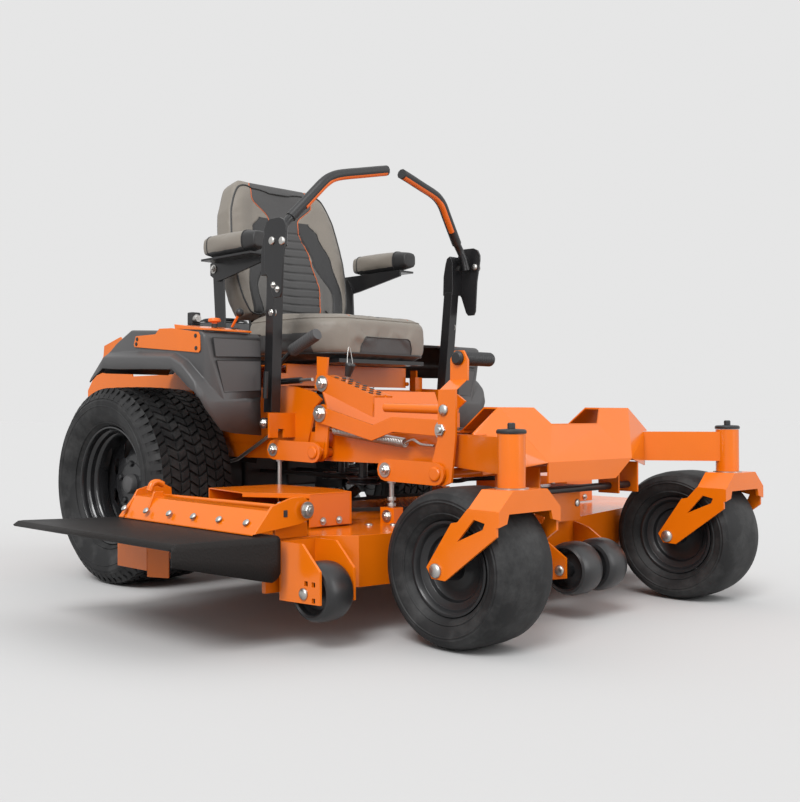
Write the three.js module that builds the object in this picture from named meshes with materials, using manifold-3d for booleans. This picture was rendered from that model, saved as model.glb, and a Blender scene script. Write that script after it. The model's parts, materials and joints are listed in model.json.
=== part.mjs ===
// Zero-turn riding mower as an assembly of named sub-parts.
// Millimetres, +Z up. The front of the machine points to -Y and its discharge side to -X.
import * as THREE from 'three';
import { mergeVertices } from 'three/addons/utils/BufferGeometryUtils.js';
import { ConvexGeometry } from 'three/addons/geometries/ConvexGeometry.js';
import Module from 'manifold-3d';

const wasm = await Module();
wasm.setup();

// ---------------------------------------------------------------- driving dimensions
const RIGHT = -1;
const LEFT = 1;
const SHEET = 4;                                  // sheet-metal gauge
const PLATE = 6;                                  // bracket and arm gauge
const GAP = 0.5;                                  // clearance between faces that touch

// The machine's own datum is the ground point under the middle of the rear axle.
// The exported part has its origin at the bottom centre of its box instead.
const EXTENT = { left: 762, right: -1016, front: -1367, rear: 565 };
const ORIGIN_X = (EXTENT.left + EXTENT.right) / 2;
const ORIGIN_Y = (EXTENT.front + EXTENT.rear) / 2;

const DRIVE = { x: 452, radius: 279, half: 140, bead: 168, rim: 167.5, facets: 40 };
const CASTER = {
  pivot: [446, -1314], trail: 112, radius: 165, half: 86, bead: 98, rim: 97.6, facets: 32,
  tubeRadius: 28, bore: 16, spindle: 14, tubeLow: 332, tubeHigh: 438, crown: 330, plate: 97,
};
const CASTER_AXLE_Y = CASTER.pivot[1] + CASTER.trail;

const RAIL = { inner: 230, outer: 286, low: 358, high: 432, front: -1010, rear: 540 };
const ARM = { startX: 250, startY: -1003, half: 20 };
const GUSSET = { inner: 285, outer: 292 };

const SEAT_DECK = { low: 545, high: 551, front: -400, rear: -150 };
const SEAT_PIVOT = { y: -405, z: 570 };
const BACK = { y: -95, z: 745, lean: THREE.MathUtils.degToRad(13), thick: 100 };

const LEVER = {
  hubY: -452, hubZ: 455, hubRadius: 14, hubInner: 297, hubOuter: 372,
  foot: [343, -452, 484], head: [354, -480, 850], half: 16,
};

const CRANK = { vertical: [-8, 99], reach: 155, end: 26, shaft: 12 };
const FRONT_PIVOT = [-1025, 343];
const REAR_PIVOT = [-616, 381];
const PEDAL_PLATE = { inner: 330, outer: 336 };
const CRANK_ARM = { inner: 338, outer: 346 };
const LINK = { inner: 322, outer: 328 };

const DECK = { low: 110, high: 220, wall: 5 };
const ROLLER = { radius: 62, bore: 9, axle: 8 };
const FRONT_ROLLER = { y: -1190, z: 121, plate: 100 };
const SIDE_ROLLER = { y: -1024, z: 119, inner: 640, outer: 740, half: 36 };
const SPINDLES = { center: [0, -820], right: [-490, -610], left: [490, -610] };
const BLADE = { reach: 246, half: 32, low: 125, thick: 6, pulley: 75, shaft: 15 };
const BELT = { low: 241, high: 250, thick: 8 };

const CHUTE_HINGE = { x: -685, z: 280 };
const ENGINE_Y = 195;                             // crankshaft centre behind the axle

// ---------------------------------------------------------------- colours
const FINISH = {
  orange: [0xf26a10, 0.35, 0.1],
  graphite: [0x3c3c3e, 0.6, 0.0],
  black: [0x1b1b1d, 0.5, 0.2],
  rubber: [0x1d1d1e, 0.85, 0.0],
  rim: [0x141415, 0.4, 0.3],
  vinyl: [0x9a948a, 0.7, 0.0],
  metal: [0x9da0a3, 0.35, 0.8],
  steel: [0x4b4d50, 0.5, 0.6],
};

// ---------------------------------------------------------------- geometry helpers
const bare = (geometry) => {
  const copy = geometry.clone();
  copy.deleteAttribute('normal');
  copy.deleteAttribute('uv');
  return mergeVertices(copy, 1e-4);
};

const toSolid = (geometry) => {
  const clean = bare(geometry);
  const mesh = new wasm.Mesh({
    numProp: 3,
    vertProperties: Float32Array.from(clean.attributes.position.array),
    triVerts: Uint32Array.from(clean.index.array),
  });
  return new wasm.Manifold(mesh);
};

const toGeometry = (solid) => {
  const mesh = solid.getMesh();
  const geometry = new THREE.BufferGeometry();
  geometry.setAttribute('position', new THREE.BufferAttribute(Float32Array.from(mesh.vertProperties), 3));
  geometry.setIndex(new THREE.BufferAttribute(Uint32Array.from(mesh.triVerts), 1));
  return geometry;
};

const join = (...parts) => toGeometry(parts.map(toSolid).reduce((sum, next) => sum.add(next)));
const cut = (base, ...tools) =>
  toGeometry(tools.map(toSolid).reduce((rest, tool) => rest.subtract(tool), toSolid(base)));

const box = (x0, x1, y0, y1, z0, z1) => {
  const geometry = new THREE.BoxGeometry(Math.abs(x1 - x0), Math.abs(y1 - y0), Math.abs(z1 - z0));
  return geometry.translate((x0 + x1) / 2, (y0 + y1) / 2, (z0 + z1) / 2);
};

const outline = (points) => new THREE.Shape(points.map(([a, b]) => new THREE.Vector2(a, b)));
const extrude = (shape, depth) => new THREE.ExtrudeGeometry(shape, { depth, bevelEnabled: false, steps: 1 });
const turned = (geometry, x, y, z) =>
  geometry.applyMatrix4(new THREE.Matrix4().makeBasis(
    new THREE.Vector3(...x), new THREE.Vector3(...y), new THREE.Vector3(...z)));

// Prisms whose outlines are given in (y, z), (x, z) and (x, y).
const plateX = (points, x0, x1) =>
  turned(extrude(outline(points), x1 - x0), [0, 1, 0], [0, 0, 1], [1, 0, 0]).translate(x0, 0, 0);
const plateY = (points, y0, y1) =>
  turned(extrude(outline(points), y1 - y0), [1, 0, 0], [0, 0, 1], [0, -1, 0]).translate(0, y1, 0);
const plateZ = (points, z0, z1) => extrude(outline(points), z1 - z0).translate(0, 0, z0);

const hull = (points) => new ConvexGeometry(points.map((p) => new THREE.Vector3(...p)));
const sheet = (corners, offset) =>
  hull([...corners, ...corners.map((p) => p.map((value, axis) => value + offset[axis]))]);

const rod = (from, to, radius, facets = 12) => {
  const start = new THREE.Vector3(...from);
  const span = new THREE.Vector3(...to).sub(start);
  const geometry = new THREE.CylinderGeometry(radius, radius, span.length(), facets);
  const turn = new THREE.Quaternion().setFromUnitVectors(new THREE.Vector3(0, 1, 0), span.clone().normalize());
  return geometry.applyQuaternion(turn).translate(...start.addScaledVector(span, 0.5).toArray());
};
const cylX = (radius, x0, x1, y, z, facets) => rod([x0, y, z], [x1, y, z], radius, facets);
const cylZ = (radius, x, y, z0, z1, facets) => rod([x, y, z0], [x, y, z1], radius, facets);

// Outline of a bar with round ends between two points.
const roundBar = (from, to, radius, steps = 7) => {
  const heading = Math.atan2(to[1] - from[1], to[0] - from[0]);
  const arc = (centre, start) => Array.from({ length: steps }, (_, i) => {
    const angle = start + Math.PI * i / (steps - 1);
    return [centre[0] + radius * Math.cos(angle), centre[1] + radius * Math.sin(angle)];
  });
  return [...arc(to, heading - Math.PI / 2), ...arc(from, heading + Math.PI / 2)];
};

// A wheel section of (radius, offset) pairs, turned about an axle along X, with a flat facet down.
const wheel = (section, facets, centre) => {
  const stretch = 1 / Math.cos(Math.PI / facets);
  const points = section.map(([r, t]) => new THREE.Vector2(r * stretch, t));
  const geometry = new THREE.LatheGeometry(points, facets, Math.PI / facets);
  return geometry.rotateZ(-Math.PI / 2).translate(...centre);
};
const closed = (section) => [...section, section[0]];

const mirrored = (geometry) => {
  const copy = bare(geometry);
  copy.scale(-1, 1, 1);
  const index = copy.index.array;
  for (let i = 0; i < index.length; i += 3) {
    [index[i + 1], index[i + 2]] = [index[i + 2], index[i + 1]];
  }
  return copy;
};
const onSide = (side, leftGeometry) => (side === LEFT ? leftGeometry : mirrored(leftGeometry));

// Moves every edge of a closed outline inwards; the outline runs anticlockwise.
const inset = (points, distance) => points.map((corner, i) => {
  const before = points[(i + points.length - 1) % points.length];
  const after = points[(i + 1) % points.length];
  const unit = (p, q) => {
    const length = Math.hypot(q[0] - p[0], q[1] - p[1]);
    return [(q[0] - p[0]) / length, (q[1] - p[1]) / length];
  };
  const [ax, ay] = unit(before, corner);
  const [bx, by] = unit(corner, after);
  const scale = distance / (1 + ax * bx + ay * by);
  return [corner[0] - (ay + by) * scale, corner[1] + (ax + bx) * scale];
});

// ---------------------------------------------------------------- assembly
const mower = new THREE.Group();
mower.position.set(-ORIGIN_X, -ORIGIN_Y, 0);

const add = (name, finish, geometry) => {
  const [color, roughness, metalness] = FINISH[finish];
  const mesh = new THREE.Mesh(geometry, new THREE.MeshStandardMaterial({ color, roughness, metalness }));
  mesh.name = name;
  mower.add(mesh);
};
const pair = (name, finish, make) => {
  add(`${name}_left`, finish, onSide(LEFT, make()));
  add(`${name}_right`, finish, onSide(RIGHT, make()));
};

// ---------------------------------------------------------------- frame
function frontArm(half, low, high) {
  const [pivotX, pivotY] = CASTER.pivot;
  const run = Math.hypot(pivotX - ARM.startX, pivotY - ARM.startY);
  const sideX = (ARM.startY - pivotY) / run * half;
  const sideY = (pivotX - ARM.startX) / run * half;
  return plateZ([
    [ARM.startX - sideX, ARM.startY - sideY], [pivotX - sideX, pivotY - sideY],
    [pivotX + sideX, pivotY + sideY], [ARM.startX + sideX, ARM.startY + sideY],
    [ARM.startX + sideX, ARM.startY + 40], [ARM.startX - half, ARM.startY + 40],
  ], low, high);
}

function frameHalf() {
  const [pivotX, pivotY] = CASTER.pivot;
  const arm = frontArm(ARM.half, RAIL.low, RAIL.high);
  const tube = cylZ(CASTER.tubeRadius, pivotX, pivotY, CASTER.tubeLow, CASTER.tubeHigh, 24);
  const rail = box(RAIL.inner, RAIL.outer, RAIL.front, RAIL.rear, RAIL.low, RAIL.high);
  const gusset = plateX([
    [-395, 400], [-395, 612], [-372, 612], [-372, 552], [-150, 552], [-150, 400],
  ], GUSSET.inner, GUSSET.outer);
  const flare = plateX([
    [-396, 400], [-538, 404], [-562, 495], [-590, 516], [-560, 536], [-490, 552], [-396, 557],
  ], GUSSET.inner, GUSSET.outer);
  const hingeEar = box(GUSSET.inner - 30, GUSSET.inner + 1, -420, -396, SEAT_DECK.high - 6, 590);
  const leverShield = box(GUSSET.outer - 1, 382, -488, -482, 417, 482);
  const shieldNotch = box(CRANK_ARM.inner - 6, CRANK_ARM.outer + 6, -500, -470, 410, 440);
  const shieldRib = box(GUSSET.outer - 1, GUSSET.outer + 4, -488, -440, 417, 482);
  const body = join(arm, rail, tube, gusset, flare, hingeEar, leverShield, shieldRib);
  return cut(body,
    cylZ(CASTER.bore, pivotX, pivotY, CASTER.tubeLow - 5, CASTER.tubeHigh + 5, 24),
    cylX(CRANK.shaft + 1.5, RAIL.inner - 5, RAIL.outer + 5, ...REAR_PIVOT, 16), shieldNotch);
}

function mainFrame() {
  const half = frameHalf();
  const reach = RAIL.inner + 1;
  const crossMember = (y0, y1) => box(-reach, reach, y0, y1, RAIL.low, RAIL.high);
  const seatDeck = box(-GUSSET.inner - 1, GUSSET.inner + 1, SEAT_DECK.front, SEAT_DECK.rear,
    SEAT_DECK.low, SEAT_DECK.high);
  const engineDeck = cut(box(-reach, reach, -60, RAIL.rear, RAIL.high - 4, RAIL.high + 2),
    cylZ(30, 0, ENGINE_Y, RAIL.high - 10, RAIL.high + 10, 20));
  return join(half, mirrored(half), crossMember(-1005, -955), crossMember(-560, -510),
    crossMember(-110, -60), crossMember(480, 530), seatDeck, engineDeck);
}

function nosePanel() {
  const top = { y: -1142, z: 493 };
  const bottom = { y: -1208, z: 369 };
  const slope = Math.hypot(top.y - bottom.y, top.z - bottom.z);
  const up = [0, (top.y - bottom.y) / slope, (top.z - bottom.z) / slope];
  const out = [0, -up[2], up[1]];
  const face = turned(extrude(outline([
    [-172, 0], [172, 0], [264, slope], [135, slope], [95, 98], [-95, 98], [-135, slope], [-264, slope],
  ]), SHEET), [1, 0, 0], up, out)
    .translate(0, bottom.y - out[1] * SHEET, bottom.z - out[2] * SHEET);
  const apron = plateY([[-172, 324], [100, 324], [172, 370], [-172, 370]], bottom.y, bottom.y + SHEET);
  const inward = [0, SHEET, 0];
  const down = [0, 0, -SHEET];
  const ear = [135, 264];
  const cheek = sheet([[264, top.y, top.z], [353, top.y, 436], [330, -1150, 345], [171, bottom.y, bottom.z]],
    inward);
  const half = join(cut(cheek, frontArm(ARM.half + 1, RAIL.low - 1, RAIL.high + 1)),
    sheet([[ear[0], top.y, top.z], [ear[1], top.y, top.z], [ear[0], -1099, 494], [ear[1], -1099, 494]], down),
    sheet([[ear[0], -1100, 494], [ear[1], -1100, 494], [ear[0], -1034, 441], [ear[1], -1034, 441]], down));
  const tongue = sheet([[-95, -1164, 455], [95, -1164, 455], [-136, -1040, 441], [136, -1040, 441]], down);
  const sill = box(-264, 264, -1042, -1030, 437, 441);
  return join(face, apron, half, mirrored(half), tongue, sill);
}

function floorPan() {
  return plateX([
    [-1028, 434], [-1028, 438], [-566, 438], [-524, 543], [-519, 543], [-561, 434],
  ], -226, 226);
}

function engineGuard() {
  const side = plateX([
    [-140, 433], [540, 433], [565, 470], [565, 560], [465, 672], [460, 706],
    [362, 730], [330, 705], [290, 600], [60, 600], [20, 640], [-140, 640],
  ], 296, 302);
  const slot = (y0, y1) => plateX([[y0, 470], [y1, 470], [y1 + 12, 545], [y0 + 12, 545]], 290, 310);
  const panel = cut(side, slot(-100, -50), slot(-20, 30), slot(60, 110), slot(150, 190), slot(220, 260),
    slot(330, 420));
  const foot = box(240, 300, 340, 536, RAIL.high + 2 + GAP, RAIL.high + 7);
  const half = join(panel, foot);
  const rearPlate = box(-299, 299, 558, 565, 470, 556);
  const topBar = box(-299, 299, 440, 458, 676, 700);
  return join(half, mirrored(half), rearPlate, topBar);
}

// ---------------------------------------------------------------- bodywork
function fenderLeft() {
  const lip = plateX([
    [80, 573], [14, 638], [-60, 656], [-412, 625], [-440, 600], [-440, 422],
    [-424, 422], [-418, 508], [-366, 575], [47, 604],
  ], 534, 580);
  const arch = plateX([
    [68, 598], [0, 680], [-75, 712], [-428, 690], [-432, 422],
    [-418, 422], [-418, 676], [-78, 698], [-6, 668], [56, 592],
  ], 318, 546);
  const wall = plateX([[66, 600], [0, 680], [-75, 712], [-428, 690], [-431, 560], [-366, 576], [48, 605]],
    536, 546);
  const leverWindow = box(310, 366, -445, -380, 410, 720);
  const cornerCut = plateY([
    [640, 532], [575, 532], [553, 494], [503, 438], [467, 430], [467, 400], [640, 400],
  ], -460, -400);
  return cut(join(cut(arch, leverWindow), lip, wall), cornerCut);
}

function controlPanel() {
  return hull([
    [-548, -428, 693], [-392, -428, 693], [-392, -300, 703], [-548, -300, 703],
    [-548, -428, 698], [-392, -428, 698], [-392, -296, 716], [-548, -296, 716],
  ]);
}

// ---------------------------------------------------------------- engine and drive
function engineBlock() {
  const crankcase = cylZ(125, 0, ENGINE_Y, 435, 610, 20);
  const corners = [[20, 60], [90, 10], [150, 190], [225, 140]];
  const head = (side) => hull(corners.flatMap(([x, y]) =>
    [[side * x, ENGINE_Y + y, 500], [side * x, ENGINE_Y + y, 600]]));
  const driveShaft = cylZ(16, 0, ENGINE_Y, 290, 440, 12);
  const pulley = cylZ(62, 0, ENGINE_Y, 296, 322, 24);
  const muffler = join(cylX(58, -190, 190, 470, 540, 20), cylX(20, 185, 250, 470, 520, 12));
  const exhaust = (side) => rod([side * 120, 325, 545], [side * 120, 450, 545], 16);
  return join(crankcase, head(1), head(-1), driveShaft, pulley, muffler, exhaust(1), exhaust(-1));
}

function engineShroud() {
  const section = [[0, 611], [190, 611], [200, 660], [186, 720], [120, 772], [0, 792]];
  const dome = new THREE.LatheGeometry(section.map(([r, z]) => new THREE.Vector2(r, z)), 28)
    .rotateX(Math.PI / 2).translate(0, ENGINE_Y + 20, 0);
  const filter = box(-95, 95, 300, 430, 640, 752);
  return join(dome, filter);
}

function transaxleLeft() {
  const gearbox = hull([
    [150, -80, 240], [150, 70, 240], [150, -80, 345], [150, 70, 345],
    [300, -50, 235], [300, 50, 235], [300, -50, 325], [300, 50, 325],
  ]);
  const axle = cylX(24, 290, DRIVE.x + 3.5, 0, DRIVE.radius, 16);
  const flange = cylX(52, 296, 306, 0, DRIVE.radius, 20);
  return join(gearbox, axle, flange);
}

// ---------------------------------------------------------------- wheels
const driveTyre = () => wheel(closed([
  [168, -112], [200, -134], [232, -140], [262, -128], [275, -100], [279, -50],
  [279, 50], [275, 100], [262, 128], [232, 140], [200, 134], [168, 112],
]), DRIVE.facets, [DRIVE.x, 0, DRIVE.radius]);

const driveRim = () => wheel([
  [0, 4], [150, 4], [157, -104], [DRIVE.rim, -108], [DRIVE.rim, 108], [157, 104], [150, 22], [0, 22],
], DRIVE.facets, [DRIVE.x, 0, DRIVE.radius]);

const casterCentre = [CASTER.pivot[0], CASTER_AXLE_Y, CASTER.radius];
const casterTyre = () => wheel(closed([
  [98, -62], [122, -80], [142, -86], [159, -72], [165, -42],
  [165, 42], [159, 72], [142, 86], [122, 80], [98, 62],
]), CASTER.facets, casterCentre);

const casterRim = () => wheel(closed([
  [11, -92], [24, -92], [26, -14], [84, -14], [92, -60], [CASTER.rim, -64],
  [CASTER.rim, 64], [92, 60], [84, 14], [26, 14], [24, 92], [11, 92],
]), CASTER.facets, casterCentre);

function casterFork() {
  const [x, y] = CASTER.pivot;
  const legOutline = [
    [-1284, 294], [-1354, 293], [-1354, 244], [-1226, 147], [-1191, 148], [-1177, 170],
    [-1242, 263], [-1258, 266],
  ];
  const window = [[-1299, 274], [-1326, 268], [-1321, 256], [-1258, 228]];
  const leg = (from) => cut(plateX(legOutline, from, from + PLATE), plateX(window, from - 5, from + PLATE + 5));
  const crown = plateY([
    [x - 100, 292], [x - 56, CASTER.crown], [x + 56, CASTER.crown], [x + 100, 292],
    [x + 94, 289], [x + 53, CASTER.crown - PLATE], [x - 53, CASTER.crown - PLATE], [x - 94, 289],
  ], -1354, -1284);
  const flange = plateY([
    [x - 100, 292], [x - 56, CASTER.crown], [x + 56, CASTER.crown], [x + 100, 292], [x + 100, 262],
    [x + 74, 268], [x + 68, 286], [x - 68, 286], [x - 74, 268], [x - 100, 262],
  ], -1360, -1353);
  const spindle = cylZ(CASTER.spindle, x, y, CASTER.crown - 3, CASTER.tubeHigh - 2, 20);
  const axle = cylX(10, x - 99, x + 99, CASTER_AXLE_Y, CASTER.radius, 14);
  return join(leg(x - 100), leg(x + 94), crown, flange, spindle, axle);
}

// ---------------------------------------------------------------- seat
const seatPan = () => join(
  plateX([
    [-394, 558], [-394, 618], [-60, 618], [-60, 560], [-64, 560], [-64, 614], [-390, 614], [-390, 558],
  ], -240, 240),
  cylX(6, -252, -238, SEAT_PIVOT.y + 14, SEAT_PIVOT.z, 10),
  cylX(6, 238, 252, SEAT_PIVOT.y + 14, SEAT_PIVOT.z, 10));

function seatBase() {
  const tray = box(-170, 170, -530, -80, 619, 630);
  const foot = box(-266, 266, -152, -112, 619, 630);
  const spine = plateX([[-92, 619], [-80, 619], [-78, 755], [-45, 905], [-56, 905], [-88, 757]], -120, 120);
  const strap = (x0) => plateX([[-152, 619], [-112, 619], [-90, 905], [-120, 915], [-140, 880]], x0, x0 + PLATE);
  return join(tray, foot, spine, strap(260), strap(-266));
}

const seatCushion = () => plateZ([
  [-250, -206], [-255, -430], [-150, -558], [150, -558], [255, -430], [250, -206],
], 634, 768);

function seatBack() {
  const half = [[195, 0], [238, 90], [244, 190], [236, 260], [206, 350], [168, 430], [110, 462]];
  const shape = [...half, ...half.map(([x, s]) => [-x, s]).reverse()];
  const up = [0, Math.sin(BACK.lean), Math.cos(BACK.lean)];
  const out = [0, -up[2], up[1]];
  return turned(extrude(outline(shape), BACK.thick), [1, 0, 0], up, out).translate(0, BACK.y, BACK.z);
}

const armrestBracket = () => join(
  plateX([[-88, 922], [-88, 888], [-120, 868], [-165, 874], [-345, 908], [-345, 927], [-100, 927]], 267, 274),
  box(267, 330, -345, -118, 921, 927));

const armrestPad = () => plateX([
  [-116, 928], [-350, 928], [-364, 944], [-362, 978], [-345, 992], [-140, 1000], [-116, 980],
], 268, 336);

// ---------------------------------------------------------------- steering levers
const leverHub = () => join(
  cylX(LEVER.hubRadius, LEVER.hubInner, LEVER.hubOuter, LEVER.hubY, LEVER.hubZ, 16),
  box(LEVER.foot[0] - 6, LEVER.foot[0] + 6, LEVER.hubY - 10, LEVER.hubY + 10, LEVER.hubZ, LEVER.foot[2] - 8),
  box(LEVER.foot[0] - 3, LEVER.foot[0] + 3, LEVER.hubY - 10, LEVER.hubY + 10, LEVER.hubZ, LEVER.foot[2] - 2));

function leverBar() {
  const [fx, fy, fz] = LEVER.foot;
  const [hx, hy, hz] = LEVER.head;
  const square = (x, y, z) => [[-1, -1], [1, -1], [1, 1], [-1, 1]]
    .map(([a, b]) => [x + a * LEVER.half, y + b * LEVER.half, z]);
  const bar = hull([...square(fx, fy, fz), ...square(hx, hy, hz)]);
  const block = box(340, 386, -500, -456, 836, 965);
  const plate = plateX([
    [-478, 960], [-498, 985], [-556, 982], [-566, 950], [-552, 880], [-545, 778], [-512, 778],
    [-492, 836], [-478, 850],
  ], 385, 391);
  return join(bar, block, plate);
}

function leverGrip() {
  const path = new THREE.CurvePath();
  const v = (...p) => new THREE.Vector3(...p);
  path.add(new THREE.LineCurve3(v(368, -528, 915), v(362, -522, 950)));
  path.add(new THREE.QuadraticBezierCurve3(v(362, -522, 950), v(353, -514, 975), v(334, -519, 994)));
  path.add(new THREE.LineCurve3(v(334, -519, 994), v(246, -542, 1088)));
  path.add(new THREE.QuadraticBezierCurve3(v(246, -542, 1088), v(220, -548, 1114), v(184, -553, 1122)));
  path.add(new THREE.LineCurve3(v(184, -553, 1122), v(29, -575, 1153)));
  const section = new THREE.Shape().absarc(0, 0, 14.5, 0, 2 * Math.PI);
  return new THREE.ExtrudeGeometry(section,
    { steps: 16, extrudePath: path, bevelEnabled: false, curveSegments: 10 });
}

// ---------------------------------------------------------------- cutter deck
const DECK_OUTLINE = [
  [-129, -1080], [129, -1080], [440, -1018], [563, -1001], [622, -945], [762, -930],
  [762, -400], [720, -350], [-745, -350], [-762, -364], [-762, -930], [-622, -945], [-563, -1001],
  [-440, -1018],
];

function deckShell() {
  const outer = plateZ(DECK_OUTLINE, DECK.low, DECK.high);
  const inner = plateZ(inset(DECK_OUTLINE, DECK.wall), DECK.low - 5, DECK.high - DECK.wall);
  const discharge = box(-800, -750, -918, -492, DECK.low - 5, 205);
  const spindleHole = ([x, y]) => cylZ(20, x, y, DECK.high - 20, DECK.high + 10, 20);
  const shell = cut(outer, inner, discharge, ...Object.values(SPINDLES).map(spindleHole));
  const baffle = sheet([[-762, -494, 96], [-762, -494, 216], [-738, -548, 96], [-738, -548, 216]], [5, 3, 0]);
  const hangerLug = (x, y) => box(x - 16, x + 16, y - 22, y + 22, DECK.high - 2, DECK.high + 38);
  return join(shell, baffle, hangerLug(324, -870), hangerLug(-324, -870), hangerLug(324, -461),
    hangerLug(-324, -461));
}

// The yoke stands on the front edge of the deck and carries the middle roller on two ears.
function rollerYoke() {
  const tower = cut(box(-74, 74, -1125, -1062, DECK.high + GAP, 306),
    box(-68, 68, -1119, -1050, DECK.high - 5, 300));
  const rollerEar = (x0) => plateX([
    [-1082, 214], [-1130, 200], [-1206, 150], [-1206, 104], [-1172, 98], [-1082, 126],
  ], x0, x0 + PLATE);
  const rollerAxle = cylX(ROLLER.axle, -104, 104, FRONT_ROLLER.y, FRONT_ROLLER.z, 12);
  const frontPlate = box(-106, 106, -1087, -1081, 126, 226);
  return join(tower, frontPlate, rollerEar(FRONT_ROLLER.plate), rollerEar(-FRONT_ROLLER.plate - PLATE),
    rollerAxle);
}

function rollerBracket() {
  const earOutline = [[-948, 218], [-1017, 218], [-1070, 167], [-1070, 101], [-948, 97]];
  const holes = [[-1052, 140], [-1030, 140], [-1052, 108]];
  const squareHole = ([y, z]) => box(630, 750, y - 5, y + 5, z - 5, z + 5);
  const ears = join(plateX(earOutline, SIDE_ROLLER.outer - PLATE, SIDE_ROLLER.outer),
    plateX(earOutline, SIDE_ROLLER.inner, SIDE_ROLLER.inner + PLATE),
    box(SIDE_ROLLER.inner, SIDE_ROLLER.outer, -954, -948, 97, 218));
  return join(cut(ears, ...holes.map(squareHole)),
    cylX(ROLLER.axle, SIDE_ROLLER.inner + 2, SIDE_ROLLER.outer - 2, SIDE_ROLLER.y, SIDE_ROLLER.z, 12));
}

const rollerSection = (half) => [
  [ROLLER.bore, -half], [40, -half], [55, -half * 0.72], [ROLLER.radius, -half * 0.2],
  [ROLLER.radius, half * 0.2], [55, half * 0.72], [40, half], [ROLLER.bore, half],
];
const sideRoller = () => wheel(closed(rollerSection(SIDE_ROLLER.half)), 24,
  [(SIDE_ROLLER.inner + SIDE_ROLLER.outer) / 2, SIDE_ROLLER.y, SIDE_ROLLER.z]);
const frontRoller = () => wheel(closed([
  [ROLLER.bore, -92], [40, -92], [55, -76], [ROLLER.radius, -58], [ROLLER.radius, -34], [50, -14], [22, -5],
  [22, 5], [50, 14], [ROLLER.radius, 34], [ROLLER.radius, 58], [55, 76], [40, 92], [ROLLER.bore, 92],
]), 24, [0, FRONT_ROLLER.y, FRONT_ROLLER.z]);

function beltCoverRight() {
  const plan = [[-640, -700], [-560, -842], [-433, -842], [-396, -760], [-396, -540], [-600, -520]];
  const roof = plateZ(plan, 296, 300);
  const wall = sheet([[-560, -842, 224], [-433, -842, 224], [-560, -842, 299], [-433, -842, 299]], [0, 4, 0]);
  const side = sheet([[-640, -700, 262], [-560, -842, 262], [-640, -700, 299], [-560, -842, 299]], [4, 2, 0]);
  const rear = sheet([[-640, -700, 224], [-600, -520, 224], [-640, -700, 299], [-600, -520, 299]], [4, 0, 0]);
  return join(roof, wall, side, rear);
}

function blade([x, y]) {
  const bar = plateZ([
    [x - BLADE.reach, y - BLADE.half], [x + BLADE.reach, y - BLADE.half],
    [x + BLADE.reach, y + BLADE.half], [x - BLADE.reach, y + BLADE.half],
  ], BLADE.low, BLADE.low + BLADE.thick);
  const shaft = cylZ(BLADE.shaft, x, y, BLADE.low - 8, 262, 14);
  const pulley = cylZ(BLADE.pulley, x, y, BELT.low - 1, BELT.high + 1, 28);
  return join(bar, shaft, pulley);
}

function deckBelt() {
  const loop = (radius) => {
    const ring = ([x, y]) => Array.from({ length: 28 }, (_, i) => {
      const angle = 2 * Math.PI * i / 28;
      return [x + radius * Math.cos(angle), y + radius * Math.sin(angle)];
    });
    const points = Object.values(SPINDLES).flatMap(ring);
    return (z0, z1) => hull(points.flatMap(([x, y]) => [[x, y, z0], [x, y, z1]]));
  };
  return cut(loop(BLADE.pulley + BELT.thick + 1)(BELT.low, BELT.high),
    loop(BLADE.pulley + 1)(BELT.low - 5, BELT.high + 5));
}

// ---------------------------------------------------------------- discharge deflector
function chuteHingePlate() {
  const slope = sheet([[-819, -958, 240], [-770, -958, 297], [-800, -430, 240], [-766, -452, 297]], [3, 0, 3]);
  const endPlate = plateY([[-819, 241], [-766, 298], [-700, 306], [-664, 290], [-664, 256], [-700, 250]], -964, -958);
  const rearPlate = plateY([[-805, 241], [-762, 300], [-700, 318], [-664, 296], [-664, 258], [-700, 252]], -458, -452);
  const rodBar = rod([CHUTE_HINGE.x, -972, CHUTE_HINGE.z], [CHUTE_HINGE.x, -446, CHUTE_HINGE.z], 7, 10);
  return join(slope, endPlate, rearPlate, rodBar);
}

function chuteDeflector() {
  const top = sheet([[-768, -985, 233], [-1016, -958, 233], [-1003, -315, 233], [-768, -420, 233]], [0, 0, -5]);
  const skirt = sheet([[-768, -985, 232], [-1014, -958, 232], [-1009, -958, 178], [-768, -985, 106]], [0, 5, 0]);
  const edge = sheet([[-1016, -958, 233], [-1003, -315, 233], [-1013, -958, 214], [-1000, -315, 214]], [5, 0, 0]);
  return join(top, skirt, edge);
}

// ---------------------------------------------------------------- lift linkage
const crankTop = ([y, z]) => [y + CRANK.vertical[0], z + CRANK.vertical[1]];
const crankTip = ([y, z]) => [y + CRANK.reach, z + 4];
const crankArm = (pivot) => plateX(roundBar(pivot, crankTip(pivot), CRANK.end), CRANK_ARM.inner, CRANK_ARM.outer);
const crossShaft = ([y, z]) => cylX(CRANK.shaft, -CRANK_ARM.outer, CRANK_ARM.outer, y, z, 16);

function frontCrank() {
  const arm = crankArm(FRONT_PIVOT);
  const lower = plateX([
    [-1027, 533], [-1077, 533], [-1077, 430], [-1064, 325], [-1040, 316], [-1008, 318], [-1000, 345], [-1024, 420],
  ], -PEDAL_PLATE.outer, -PEDAL_PLATE.inner);
  const jog = sheet([[-336, -1027, 530], [-336, -1077, 530], [-296, -1027, 556], [-296, -1077, 556]], [6, 0, 2]);
  const upper = plateX([
    [-1028, 554], [-1078, 554], [-1079, 600], [-1066, 622], [-1041, 622], [-1029, 604],
  ], -296, -290);
  const peg = cylX(9, -306, -182, -1053, 605, 12);
  return join(arm, mirrored(arm), crossShaft(FRONT_PIVOT), lower, jog, upper, peg);
}

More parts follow.
